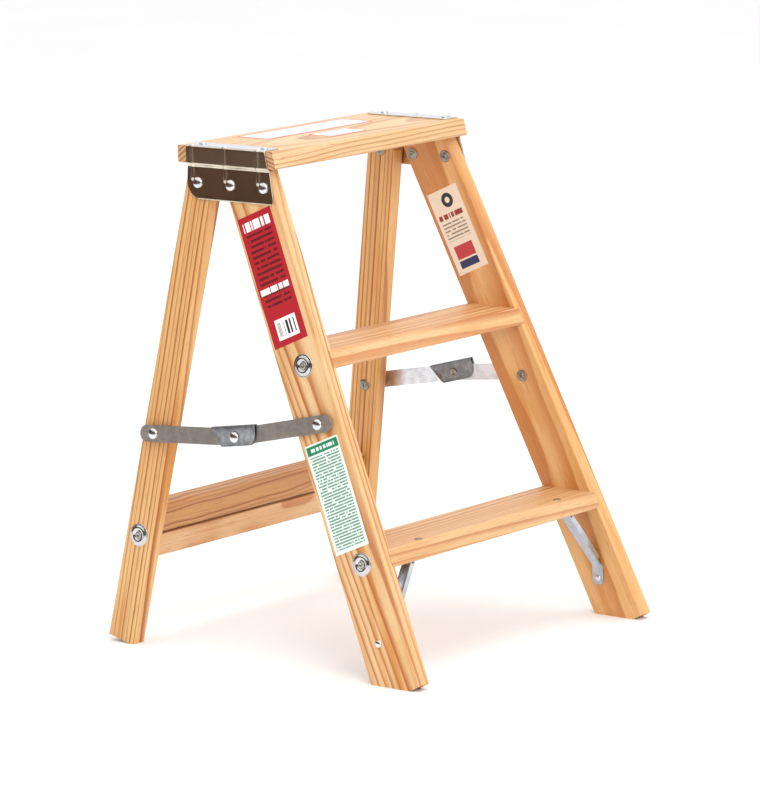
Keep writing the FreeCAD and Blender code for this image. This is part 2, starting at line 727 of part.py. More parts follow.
print("swing", swing_limit, "pivot", pivot_y, pivot_z)
for name, side in (("left", -1), ("right", 1)):
    a = in_plane(rear_end)
    b = in_plane(front_end)
    k = knee_point_for(side)
    length_a = hypot(a[0] - k[0], a[1] - k[1])
    length_b = hypot(b[0] - k[0], b[1] - k[1])
    k1 = folded_knee(length_a, length_b)
    af = in_plane(folded_end)
    front_turn = degrees(atan2(k1[1] - b[1], k1[0] - b[0]) - atan2(k[1] - b[1], k[0] - b[0]))
    rear_turn = degrees(atan2(af[1] - k1[1], af[0] - k1[0]) - atan2(a[1] - k[1], a[0] - k[0]))
    knee_z = height + k[1] * cos(lean)
    sign = 1 if side > 0 else -1
    out = vec(sign * cos(lean), 0, sin(lean))
    for joint, point in (("front", front_end), ("knee", (k[0], knee_z))):
        spot = vec(sign * half_at(point[1]), point[0], point[1]) + out * (inner_layer + bar_thickness / 2.0)
        print(name, joint, "pos", [round(c / 1000.0, 6) for c in spot])
    print(name, "axis_out", [round(c, 6) for c in out], "front turn", front_turn, "rear relative", rear_turn - front_turn)
    print(name, "ratio front", front_turn / swing_limit, "ratio knee", (rear_turn - front_turn) / swing_limit)
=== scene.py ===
import logging
import math
from dataclasses import dataclass, field
from enum import Enum

import bmesh
import bpy
from mathutils import Matrix, Vector


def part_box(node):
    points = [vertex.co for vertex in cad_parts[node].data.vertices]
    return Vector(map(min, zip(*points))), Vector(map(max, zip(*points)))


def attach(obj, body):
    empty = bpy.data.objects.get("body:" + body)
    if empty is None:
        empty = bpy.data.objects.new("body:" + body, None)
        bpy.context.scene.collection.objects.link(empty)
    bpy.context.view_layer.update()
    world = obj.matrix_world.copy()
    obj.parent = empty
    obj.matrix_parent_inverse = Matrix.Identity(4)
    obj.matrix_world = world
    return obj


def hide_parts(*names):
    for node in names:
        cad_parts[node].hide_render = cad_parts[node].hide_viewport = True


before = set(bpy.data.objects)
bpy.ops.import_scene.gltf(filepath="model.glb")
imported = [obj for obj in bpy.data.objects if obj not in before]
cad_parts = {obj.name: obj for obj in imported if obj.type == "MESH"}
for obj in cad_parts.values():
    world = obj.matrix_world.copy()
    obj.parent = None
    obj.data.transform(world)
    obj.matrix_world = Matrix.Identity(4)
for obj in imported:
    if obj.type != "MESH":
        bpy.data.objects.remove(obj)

LOG = logging.getLogger("step_ladder")
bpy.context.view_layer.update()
SPLAY = 0.086
LEAN = math.atan(SPLAY)
HEIGHT = 0.562
HALF_TOP = 0.1657
RAIL_RAKE = 0.434
LEG_RAKE = 0.188
MILLIMETRE = 0.001
UP = Vector((0.0, 0.0, 1.0))
BLACK = (0.0, 0.0, 0.0)
WHITE = (1.0, 1.0, 1.0)

Colour = tuple[float, float, float]
Triple = tuple[float, float, float]
Pair = tuple[float, float]
Area = tuple[float, float, float, float]
Socket = bpy.types.NodeSocket


class Side(Enum):
    """The two sides of the ladder, seen from the climbing side."""

    LEFT = -1
    RIGHT = 1


def half_at(z: float) -> float:
    """Half width over the outer rail faces at height z."""
    return HALF_TOP + (HEIGHT - z) * SPLAY


def outward(side: Side) -> Vector:
    """Unit normal of a side plane, pointing away from the ladder."""
    return Vector((side.value * math.cos(LEAN), 0.0, math.sin(LEAN)))


def side_point(side: Side, y: float, z: float, out: float) -> Vector:
    """Point on an outer rail face, moved along the side's normal.

    Args:
        side: Side of the ladder.
        y: Distance behind the middle of the footprint.
        z: Height of the point on the face.
        out: Distance to move outward.

    Returns:
        The point in the object's frame.
    """
    return Vector((side.value * half_at(z), y, z)) + outward(side) * out


def rgba(colour: Colour) -> tuple[float, float, float, float]:
    """Colour with full opacity."""
    return (colour[0], colour[1], colour[2], 1.0)


def srgb(red: int, green: int, blue: int) -> Colour:
    """Linear colour of a display colour given as 0 to 255."""
    def linear(value: int) -> float:
        """Linear value of one channel."""
        part = value / 255.0
        return part / 12.92 if part <= 0.04045 else ((part + 0.055) / 1.055) ** 2.4

    return (linear(red), linear(green), linear(blue))


class Graph:
    """Node tree of one material, with short calls for the nodes a finish uses."""

    def __init__(self, name: str) -> None:
        """Start an empty material called name."""
        self.material = bpy.data.materials.new(name)
        self.material.use_nodes = True
        self.tree = self.material.node_tree
        self.tree.nodes.clear()
        self.shader = self.add("ShaderNodeBsdfPrincipled")
        self.out = self.add("ShaderNodeOutputMaterial")
        self.tree.links.new(self.shader.outputs[0], self.out.inputs[0])

    def add(self, kind: str, **settings: object) -> bpy.types.Node:
        """New node with its settings applied."""
        node = self.tree.nodes.new(kind)
        for key, value in settings.items():
            setattr(node, key, value)
        return node

    def feed(self, socket: Socket, value: object) -> None:
        """Link or set an input socket.

        Args:
            socket: Input to fill.
            value: Another node's output, a number, or a tuple.
        """
        if isinstance(value, Socket):
            self.tree.links.new(value, socket)
        else:
            socket.default_value = value

    def place(self) -> Socket:
        """Position in the object's frame."""
        return self.add("ShaderNodeTexCoord").outputs["Object"]

    def facing(self) -> Socket:
        """Surface normal in the object's frame."""
        return self.add("ShaderNodeTexCoord").outputs["Normal"]

    def vector(self, operation: str, first: object, second: object) -> bpy.types.Node:
        """Vector Math node of two vectors."""
        node = self.add("ShaderNodeVectorMath", operation=operation)
        self.feed(node.inputs[0], first)
        self.feed(node.inputs[1], second)
        return node

    def along(self, vector: object, direction: Triple) -> Socket:
        """Length of a vector along a direction."""
        return self.vector("DOT_PRODUCT", vector, direction).outputs["Value"]

    def join(self, first: object, second: object, third: object) -> Socket:
        """Vector of three numbers."""
        node = self.add("ShaderNodeCombineXYZ")
        for socket, value in zip(node.inputs, (first, second, third)):
            self.feed(socket, value)
        return node.outputs[0]

    def sum(self, operation: str, first: object, second: object = 0.0, third: object = 0.0) -> Socket:
        """Math node of up to three numbers.

        Args:
            operation: Blender's name of the operation.
            first: First number or socket.
            second: Second number or socket.
            third: Third number or socket.

        Returns:
            The result socket.
        """
        node = self.add("ShaderNodeMath", operation=operation)
        for socket, value in zip(node.inputs, (first, second, third)):
            self.feed(socket, value)
        return node.outputs[0]

    def step(self, value: object, low: float, high: float) -> Socket:
        """Smooth rise from 0 at low to 1 at high."""
        node = self.add("ShaderNodeMapRange", interpolation_type="SMOOTHSTEP")
        self.feed(node.inputs["Value"], value)
        node.inputs["From Min"].default_value = low
        node.inputs["From Max"].default_value = high
        return node.outputs["Result"]

    def noise(self, vector: object, scale: float, detail: float = 2.0, rough: float = 0.5) -> Socket:
        """Smooth noise from 0 to 1.

        Args:
            vector: Position to read the noise at.
            scale: Features per unit of the position.
            detail: Number of finer layers.
            rough: Strength of the finer layers.

        Returns:
            The noise value socket.
        """
        node = self.add("ShaderNodeTexNoise")
        self.feed(node.inputs["Vector"], vector)
        node.inputs["Scale"].default_value = scale
        node.inputs["Detail"].default_value = detail
        node.inputs["Roughness"].default_value = rough
        return node.outputs[0]

    def ramp(self, value: object, stops: list[tuple[float, Colour]]) -> Socket:
        """Colour ramp over stops.

        Args:
            value: Position along the ramp, 0 to 1.
            stops: Positions and colours in order.

        Returns:
            The colour socket.
        """
        node = self.add("ShaderNodeValToRGB")
        elements = node.color_ramp.elements
        elements[0].position, elements[1].position = stops[0][0], stops[-1][0]
        elements[0].color, elements[1].color = rgba(stops[0][1]), rgba(stops[-1][1])
        for spot, colour in stops[1:-1]:
            elements.new(spot).color = rgba(colour)
        self.feed(node.inputs[0], value)
        return node.outputs[0]

    def blend(self, amount: object, first: object, second: object, mode: str = "MIX") -> Socket:
        """Blend of two colours.

        Args:
            amount: Share of the second colour.
            first: Colour or socket.
            second: Colour or socket.
            mode: Blender's name of the blend.

        Returns:
            The colour socket.
        """
        node = self.add("ShaderNodeMix", data_type="RGBA", blend_type=mode)
        self.feed(node.inputs[0], amount)
        self.feed(node.inputs[6], rgba(first) if isinstance(first, tuple) else first)
        self.feed(node.inputs[7], rgba(second) if isinstance(second, tuple) else second)
        return node.outputs[2]

    def relief(self, height: object, depth: float) -> None:
        """Bump the surface by a height of 0 to 1, depth metres deep."""
        node = self.add("ShaderNodeBump")
        node.inputs["Strength"].default_value = 1.0
        node.inputs["Distance"].default_value = depth
        self.feed(node.inputs["Height"], height)
        self.tree.links.new(node.outputs[0], self.shader.inputs["Normal"])

    def paint(self, colour: object, rough: object) -> None:
        """Colour and roughness of the surface."""
        self.feed(self.shader.inputs["Base Color"], colour)
        self.feed(self.shader.inputs["Roughness"], rough)


@dataclass(frozen=True)
class Pine:
    """Clear-coated yellow pine, with growth rings round a pith line near the board.

    Lengths are in metres. The board's length and width directions carry the grain;
    pith is where the middle of the tree lies across and behind the board, and drift
    is how far it moves per metre of length.
    """

    name: str
    along: Triple
    across: Triple
    origin: Triple
    pith: Pair
    drift: Pair = (0.0, 0.0)
    ring: float = 0.0050
    wander: float = 0.006
    waves: float = 2.6
    line: float = 0.34
    amber: float = 0.35
    flame: float = 0.0
    flame_at: float = 0.0
    seed: float = 0.0
    pale: Colour = srgb(232, 194, 150)
    warm: Colour = srgb(224, 176, 122)
    late: Colour = srgb(184, 106, 38)
    resin: Colour = srgb(206, 136, 54)
    tongue: Colour = srgb(204, 132, 50)
    duct: Colour = srgb(132, 72, 32)
    end_ground: Colour = srgb(168, 98, 44)
    end_line: Colour = srgb(120, 56, 20)
    strength: float = 1.0

    def local(self, graph: Graph) -> tuple[Socket, Socket, Socket]:
        """Distances along, across and through the board."""
        long_way = Vector(self.along).normalized()
        wide_way = Vector(self.across)
        wide_way = (wide_way - long_way * wide_way.dot(long_way)).normalized()
        thick_way = long_way.cross(wide_way)
        offset = graph.vector("SUBTRACT", graph.place(), self.origin).outputs[0]
        return (graph.along(offset, tuple(long_way)), graph.along(offset, tuple(wide_way)),
                graph.along(offset, tuple(thick_way)))

    def streaks(self, graph: Graph, place: tuple, lengthwise: float, sideways: float, detail: float,
                rough: float) -> Socket:
        """Noise drawn out along the grain.

        Args:
            graph: Material being built.
            place: Distances along, across and through the board.
            lengthwise: Features per metre along the board.
            sideways: Features per metre across it.
            detail: Number of finer layers.
            rough: Strength of the finer layers.

        Returns:
            The noise value socket.
        """
        run, wide, deep = place
        where = graph.join(graph.sum("MULTIPLY", graph.sum("ADD", run, self.seed), lengthwise),
                           graph.sum("MULTIPLY", wide, sideways), graph.sum("MULTIPLY", deep, sideways))
        return graph.noise(where, 1.0, detail, rough)

    def rings(self, graph: Graph, place: tuple, slow: Socket) -> Socket:
        """Distance from the pith, counted in uneven growth rings.

        Args:
            graph: Material being built.
            place: Distances along, across and through the board.
            slow: Slow noise that bends the rings.

        Returns:
            The ring count socket.
        """
        run, wide, deep = place
        quick = self.streaks(graph, place, 14.0, 60.0, 2.0, 0.5)
        off_wide = graph.sum("SUBTRACT", wide, graph.sum("MULTIPLY_ADD", run, self.drift[0], self.pith[0]))
        off_deep = graph.sum("SUBTRACT", deep, graph.sum("MULTIPLY_ADD", run, self.drift[1], self.pith[1]))
        wide_square = graph.sum("MULTIPLY", off_wide, off_wide)
        deep_square = graph.sum("MULTIPLY", off_deep, off_deep)
        radius = graph.sum("SQRT", graph.sum("ADD", wide_square, deep_square))
        radius = graph.sum("MULTIPLY_ADD", graph.sum("SUBTRACT", slow, 0.5), self.wander * 2.0, radius)
        radius = graph.sum("MULTIPLY_ADD", graph.sum("SUBTRACT", quick, 0.5), self.wander * 0.22, radius)
        even = graph.sum("DIVIDE", radius, self.ring)
        uneven = graph.noise(graph.join(graph.sum("MULTIPLY", even, 0.37), self.seed, 0.0), 1.0, 1.0, 0.5)
        return graph.sum("MULTIPLY_ADD", uneven, 1.6, even)

    def growth(self, graph: Graph, rings: Socket) -> tuple[Socket, Socket]:
        """Late wood of each year, even and with some years stronger than others."""
        year = graph.add("ShaderNodeTexWhiteNoise", noise_dimensions="1D")
        graph.feed(year.inputs["W"], graph.sum("FLOOR", rings))
        faint, half = (0.22, 0.22, 0.22), (0.55, 0.55, 0.55)
        even = graph.ramp(graph.sum("FRACT", rings), [
            (0.0, faint), (0.07, BLACK), (0.84 - self.line, BLACK), (0.89 - self.line * 0.5, half),
            (0.86, WHITE), (0.965, WHITE), (1.0, faint)])
        force = graph.sum("MULTIPLY_ADD", year.outputs["Value"], 0.45, 0.55)
        return even, graph.sum("MULTIPLY", even, graph.sum("MULTIPLY", force, self.strength))

    def ground(self, graph: Graph, place: tuple, slow: Socket) -> Socket:
        """Early wood with soft clouds, thin streaks, resin and one amber tongue.

        Args:
            graph: Material being built.
            place: Distances along, across and through the board.
            slow: Slow noise that bends the tongue.

        Returns:
            The colour socket.
        """
        streak = self.streaks(graph, place, 3.0, 150.0, 2.0, 0.5)
        cloud = self.streaks(graph, place, 5.0, 22.0, 2.0, 0.5)
        gum = self.streaks(graph, place, 6.0, 85.0, 1.0, 0.4)
        colour = graph.blend(graph.step(cloud, 0.30, 0.72), self.pale, self.warm)
        colour = graph.blend(graph.sum("MULTIPLY", graph.step(streak, 0.50, 0.75), 0.30), colour, self.late)
        sticky = graph.sum("MULTIPLY", graph.step(gum, 0.60, 0.70), self.amber)
        colour = graph.blend(sticky, colour, self.resin)
        if self.flame:
            wavy = graph.sum("MULTIPLY_ADD", graph.sum("SUBTRACT", slow, 0.5), 0.030, place[1])
            near = graph.sum("ABSOLUTE", graph.sum("SUBTRACT", wavy, self.flame_at))
            tongue = graph.sum("MULTIPLY", graph.step(near, 0.0075, 0.0020), graph.step(cloud, 0.34, 0.56))
            colour = graph.blend(graph.sum("MULTIPLY", tongue, self.flame), colour, self.tongue)
        return colour

    def make(self) -> bpy.types.Material:
        """Build the material.

        Returns:
            The finished material.
        """
        graph = Graph(self.name)
        place = self.local(graph)
        slow = self.streaks(graph, place, self.waves, 11.0, 1.5, 0.4)
        even, late = self.growth(graph, self.rings(graph, place, slow))
        colour = graph.blend(late, self.ground(graph, place, slow), self.late)
        fibre = self.streaks(graph, place, 9.0, 620.0, 3.0, 0.65)
        lines = graph.ramp(fibre, [(0.30, (0.86, 0.80, 0.74)), (0.52, WHITE), (1.0, (1.05, 1.05, 1.04))])
        colour = graph.blend(0.8, colour, lines, "MULTIPLY")
        ducts = graph.step(self.streaks(graph, place, 55.0, 1500.0, 0.0, 0.5), 0.69, 0.76)
        colour = graph.blend(graph.sum("MULTIPLY", ducts, 0.34), colour, self.duct)
        lengthwise = tuple(Vector(self.along).normalized())
        end = graph.step(graph.sum("ABSOLUTE", graph.along(graph.facing(), lengthwise)), 0.55, 0.85)
        colour = graph.blend(graph.sum("MULTIPLY", end, 0.45), colour, self.end_ground)
        cut = graph.sum("MULTIPLY", end, graph.sum("MULTIPLY", even, 0.7))
        colour = graph.blend(cut, colour, self.end_line)
        rough = graph.sum("MULTIPLY_ADD", late, -0.12, 0.50)
        graph.paint(colour, graph.sum("MULTIPLY_ADD", end, 0.22, rough))
        graph.shader.inputs["Coat Weight"].default_value = 0.12
        graph.shader.inputs["Coat Roughness"].default_value = 0.30
        height = graph.sum("ADD", graph.sum("MULTIPLY", late, 0.45), graph.sum("MULTIPLY", fibre, 0.55))
        graph.relief(height, 0.00012)
        return graph.material


@dataclass(frozen=True)
class Metal:
    """Bare or plated steel with mottling, fine scratches and duller patches.

    Mottle is patches per metre, grain the scratches per metre along X, Y and Z, and
    upper the colour of faces that look up, when it differs, a painted reflection of the pale sky.
    """

    name: str
    light: Colour
    dark: Colour
    rough: float
    mottle: float = 160.0
    spread: float = 0.10
    scratch: float = 0.35
    grain: Triple = (900.0, 90.0, 900.0)
    upper: Colour | None = None

    def make(self) -> bpy.types.Material:
        """Build the material.

        Returns:
            The finished material.
        """
        graph = Graph(self.name)
        place = graph.place()
        patches = graph.noise(place, self.mottle, 3.0, 0.6)
        broad = graph.noise(place, self.mottle * 0.22, 2.0, 0.5)
        mixed = graph.sum("MULTIPLY_ADD", patches, 0.6, graph.sum("MULTIPLY", broad, 0.4))
        lines = graph.noise(graph.vector("MULTIPLY", place, self.grain).outputs[0], 1.0, 2.0, 0.6)
        colour = graph.blend(graph.step(mixed, 0.34, 0.66), self.light, self.dark)
        worn = graph.sum("MULTIPLY", graph.step(lines, 0.50, 0.74), self.scratch)
        colour = graph.blend(worn, colour, self.light)
        # Painted reflection: faces that look up take the upper colour, in place of the pale sky they mirror.
        if self.upper is not None:
            level = graph.step(graph.along(graph.facing(), tuple(UP)), 0.5, 0.9)
            colour = graph.blend(level, colour, self.upper)
        rough = graph.sum("MULTIPLY_ADD", graph.sum("SUBTRACT", mixed, 0.5), self.spread * 2.0, self.rough)
        rough = graph.sum("MULTIPLY_ADD", worn, -0.08, rough)
        graph.paint(colour, rough)
        graph.shader.inputs["Metallic"].default_value = 1.0
        graph.relief(graph.sum("ADD", patches, graph.sum("MULTIPLY", lines, 0.3)), 0.00006)
        return graph.material


class PrintStyle(Enum):
    """How the paper labels are laid out."""

    RED = "red"
    GREEN = "green"
    CREAM = "cream"
    WHITE = "white"


@dataclass(frozen=True)
class Paper:
    """Printed paper label: plain bars and blocks stand for its print.

    On the label, u runs from 0 to 1 over its width and v from 0 to 1 over its length.
    """

    name: str
    style: PrintStyle
    along: Triple
    across: Triple
    middle: Triple
    length: float
    width: float

    def box(self, graph: Graph, u: object, v: object, area: Area) -> Socket:
        """Mask of a rectangle on the label.

        Args:
            graph: Material being built.
            u: Place across the label.
            v: Place along the label.
            area: Ends of the rectangle across, then along.

        Returns:
            The mask socket.
        """
        u0, u1, v0, v1 = area
        edge = 0.004
        inside = graph.step(u, u0 - edge, u0 + edge)
        inside = graph.sum("MULTIPLY", inside, graph.step(u, u1 + edge, u1 - edge))
        inside = graph.sum("MULTIPLY", inside, graph.step(v, v0 - edge * 0.5, v0 + edge * 0.5))
        return graph.sum("MULTIPLY", inside, graph.step(v, v1 + edge * 0.5, v1 - edge * 0.5))

    def rows(self, graph: Graph, u: object, v: object, count: float, fill: float, words: float) -> Socket:
        """Mask of broken bars in even rows.

        Args:
            graph: Material being built.
            u: Place along the rows.
            v: Place across the rows.
            count: Number of rows over the whole label.
            fill: Share of each row that its bar takes.
            words: Breaks per row.

        Returns:
            The mask socket.
        """
        scaled = graph.sum("MULTIPLY", v, count)
        row = graph.sum("FLOOR", scaled)
        bar = graph.step(graph.sum("ABSOLUTE", graph.sum("SUBTRACT", graph.sum("FRACT", scaled), 0.5)),
                         fill * 0.5 + 0.06, fill * 0.5 - 0.06)
        spot = graph.join(graph.sum("MULTIPLY", u, words), graph.sum("MULTIPLY", row, 7.31), 0.0)
        gap = graph.step(graph.noise(spot, 1.0, 1.0, 0.6), 0.37, 0.41)
        return graph.sum("MULTIPLY", bar, gap)

    def heading(self, graph: Graph, u: object, v: object, area: Area, breaks: float, seed: float,
                gap: float = 0.42) -> Socket:
        """Mask of one tall row of broken blocks.

        Args:
            graph: Material being built.
            u: Place across the label.
            v: Place along the label.
            area: Ends of the row across, then along.
            breaks: Breaks over the whole width.
            seed: Choice of the pattern.
            gap: Share of the row that stays empty, roughly.

        Returns:
            The mask socket.
        """
        noise = graph.noise(graph.join(graph.sum("MULTIPLY", u, breaks), seed, 0.0), 1.0, 0.0)
        return graph.sum("MULTIPLY", self.box(graph, u, v, area), graph.step(noise, gap, gap + 0.04))

    def make(self) -> bpy.types.Material:
        """Build the material.

        Returns:
            The finished material.
        """
        graph = Graph(self.name)
        offset = graph.vector("SUBTRACT", graph.place(), self.middle).outputs[0]
        v = graph.sum("MULTIPLY_ADD", graph.along(offset, self.along), 1.0 / self.length, 0.5)
        u = graph.sum("MULTIPLY_ADD", graph.along(offset, self.across), 1.0 / self.width, 0.5)
        layouts = {PrintStyle.RED: self.red, PrintStyle.GREEN: self.green, PrintStyle.CREAM: self.cream,
                   PrintStyle.WHITE: self.white}
        colour = layouts[self.style](graph, u, v)
        pulp = graph.noise(graph.place(), 900.0, 3.0, 0.6)
        shade = graph.ramp(pulp, [(0.3, (0.88, 0.87, 0.86)), (0.6, WHITE)])
        graph.paint(graph.blend(0.35, colour, shade, "MULTIPLY"), graph.sum("MULTIPLY_ADD", pulp, 0.16, 0.34))
        graph.relief(pulp, 0.00003)
        return graph.material

    def red(self, graph: Graph, u: object, v: object) -> Socket:
        """Red sheet with dark rows, two pale headings and a pale block with bars at its foot."""
        margin = self.box(graph, u, v, (0.12, 0.88, 0.30, 0.86))
        ink = graph.sum("MULTIPLY", margin, self.rows(graph, u, v, 24.0, 0.45, 9.0))
        colour = graph.blend(graph.sum("MULTIPLY", ink, 0.85), srgb(176, 4, 26), srgb(70, 4, 16))
        head = self.heading(graph, u, v, (0.10, 0.90, 0.885, 0.955), 17.0, 4.0, 0.40)
        colour = graph.blend(head, colour, srgb(250, 240, 240))
        middle = self.heading(graph, u, v, (0.06, 0.94, 0.40, 0.445), 21.0, 9.0)
        colour = graph.blend(middle, colour, srgb(250, 236, 236))
        foot = self.box(graph, u, v, (0.20, 0.82, 0.045, 0.20))
        colour = graph.blend(foot, colour, srgb(252, 248, 246))
        thin = graph.add("ShaderNodeTexWhiteNoise", noise_dimensions="1D")
        graph.feed(thin.inputs["W"], graph.sum("FLOOR", graph.sum("MULTIPLY", u, 58.0)))
        block = self.box(graph, u, v, (0.26, 0.76, 0.07, 0.175))
        bars = graph.sum("MULTIPLY", block, graph.step(thin.outputs["Value"], 0.45, 0.46))
        return graph.blend(bars, colour, srgb(40, 34, 34))

    def green(self, graph: Graph, u: object, v: object) -> Socket:
        """White sheet with a green head and fine green rows."""
        head = self.box(graph, u, v, (0.03, 0.97, 0.905, 0.985))
        colour = graph.blend(head, srgb(226, 238, 230), srgb(20, 128, 86))
        pale = self.heading(graph, u, v, (0.12, 0.88, 0.928, 0.960), 19.0, 3.0)
        colour = graph.blend(pale, colour, srgb(222, 244, 232))
        body = self.box(graph, u, v, (0.07, 0.93, 0.035, 0.885))
        ink = graph.sum("MULTIPLY", body, self.rows(graph, u, v, 38.0, 0.50, 14.0))
        return graph.blend(graph.sum("MULTIPLY", ink, 0.85), colour, srgb(18, 112, 78))

    def cream(self, graph: Graph, u: object, v: object) -> Socket:
        """Cream sheet with a few dark rows, a plain ring and two colour patches."""
        margin = self.box(graph, u, v, (0.14, 0.90, 0.40, 0.62))
        rows = graph.sum("MULTIPLY", margin, self.rows(graph, u, v, 24.0, 0.42, 8.0))
        colour = graph.blend(graph.sum("MULTIPLY", rows, 0.75), srgb(232, 212, 190), srgb(84, 62, 66))
        head = self.heading(graph, u, v, (0.10, 0.92, 0.655, 0.715), 16.0, 6.0)
        colour = graph.blend(head, colour, srgb(150, 40, 44))
        spot = graph.join(graph.sum("MULTIPLY", graph.sum("SUBTRACT", u, 0.45), self.width),
                          graph.sum("MULTIPLY", graph.sum("SUBTRACT", v, 0.86), self.length), 0.0)
        reach = graph.add("ShaderNodeVectorMath", operation="LENGTH")
        graph.feed(reach.inputs[0], spot)
        colour = graph.blend(graph.step(reach.outputs["Value"], 0.0088, 0.0080), colour, srgb(38, 34, 36))
        colour = graph.blend(graph.step(reach.outputs["Value"], 0.0040, 0.0030), colour, srgb(236, 218, 196))
        colour = graph.blend(self.box(graph, u, v, (0.22, 0.84, 0.17, 0.33)), colour, srgb(186, 50, 56))
        return graph.blend(self.box(graph, u, v, (0.22, 0.84, 0.06, 0.15)), colour, srgb(36, 44, 88))

    def white(self, graph: Graph, u: object, v: object) -> Socket:
        """White sheet with a thin red border and a few grey rows."""
        margin = self.box(graph, u, v, (0.10, 0.90, 0.18, 0.82))
        rows = graph.sum("MULTIPLY", margin, self.rows(graph, v, u, 7.0, 0.40, 7.0))
        colour = graph.blend(graph.sum("MULTIPLY", rows, 0.35), srgb(236, 230, 234), srgb(120, 110, 150))
        inner = self.box(graph, u, v, (0.06, 0.94, 0.016, 0.984))
        return graph.blend(inner, srgb(214, 84, 76), colour)


class Shape:
    """Mesh built from turned, flat and swept parts that share one finish."""

    def __init__(self, name: str) -> None:
        """Start an empty shape called name."""
        self.name = name
        self.mesh = bmesh.new()

    def skin(self, rows: list[list[Vector]], closed: bool = False) -> None:
        """Faces between neighbouring rows of points.

        Args:
            rows: Rows with the same number of points each.
            closed: Join the last point of each row to its first.
        """
        grid = [[self.mesh.verts.new(point) for point in row] for row in rows]
        count = len(grid[0])
        for near, far in zip(grid, grid[1:]):
            for i in range(count if closed else count - 1):
                j = (i + 1) % count
                self.mesh.faces.new((near[i], near[j], far[j], far[i]))

    def turned(self, profile: list[tuple[float, float]], base: Vector, axis: Vector, steps: int = 40) -> None:
        """Round piece about an axis.

        Args:
            profile: Radius and height pairs in millimetres, from the middle outwards.
            base: Point on the axis at height 0.
            axis: Direction of the axis.
            steps: Facets round the piece.
        """
        turn = axis.to_track_quat("Z", "Y").to_matrix()
        smallest = 0.01
        rows = []
        for radius, height in profile:
            reach = max(radius, smallest)
            angles = [2.0 * math.pi * i / steps for i in range(steps)]
            ring = [Vector((reach * math.cos(angle), reach * math.sin(angle), height)) for angle in angles]
            rows.append([base + turn @ point * MILLIMETRE for point in ring])
        self.skin(rows, True)
        for row, order in ((rows[0], 1), (rows[-1], -1)):
            self.mesh.faces.new([self.mesh.verts.new(point) for point in row[::order]])

    def flat(self, outline: list[Vector], normal: Vector, thickness: float, edge: float) -> None:
        """Flat piece with softened edges.

        Args:
            outline: Corner points of the lower face.
            normal: Direction of the thickness.
            thickness: Thickness in metres.
            edge: Radius of the softened edges in metres.
        """
        base = self.mesh.faces.new([self.mesh.verts.new(point) for point in outline])
        made = bmesh.ops.extrude_face_region(self.mesh, geom=[base])
        fresh = [item for item in made["geom"] if isinstance(item, bmesh.types.BMVert)]
        for vert in fresh:
            vert.co += normal * thickness
        touching = {line for vert in fresh for line in vert.link_edges}
        rims = [line for line in touching if all(vert in fresh for vert in line.verts)]
        rims += list(base.edges)
        bmesh.ops.bevel(self.mesh, geom=rims, offset=edge, segments=2, affect="EDGES", clamp_overlap=True)

    def finish(self, material: bpy.types.Material, body: str, replaced: str, slot: str, wall: float = 0.0,
               inside: bpy.types.Material | None = None) -> None:
        """Turn the shape into a piece of the ladder.

        Args:
            material: Finish of the piece.
            body: Body that it moves with.
            replaced: Plain piece that it stands for.
            slot: Name of a material slot; not used.
            wall: Thickness added behind an open sheet, in metres.
            inside: Finish of the faces that look inwards, when it differs.
        """
        bmesh.ops.remove_doubles(self.mesh, verts=self.mesh.verts, dist=0.000004)
        if wall == 0.0:
            bmesh.ops.recalc_face_normals(self.mesh, faces=self.mesh.faces)
        data = bpy.data.meshes.new(self.name)
        self.mesh.to_mesh(data)
        self.mesh.free()
        data.materials.append(material)
        if inside is not None:
            data.materials.append(inside)
        for face in data.polygons:
            face.use_smooth = True
            if inside is not None and face.center.x * face.normal.x < 0.0:
                face.material_index = 1
        data.set_sharp_from_angle(angle=math.radians(40.0))
        piece = bpy.data.objects.new(self.name, data)
        bpy.context.scene.collection.objects.link(piece)
        if wall:
            shell = piece.modifiers.new("wall", "SOLIDIFY")
            shell.thickness = wall
            shell.offset = -1.0
        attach(piece, body)
        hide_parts(replaced)
        LOG.info("%s built, %d faces", self.name, len(data.polygons))


def dress(node: str, material: bpy.types.Material) -> None:
    """Give a carried-over piece its finish.

    Args:
        node: Name of the piece.
        material: Finish of the whole piece.
    """
    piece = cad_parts[node]
    if not piece.material_slots:
        piece.data.materials.append(material)
    for slot in piece.material_slots:
        slot.material = material
    LOG.info("%s dressed in %s", node, material.name)


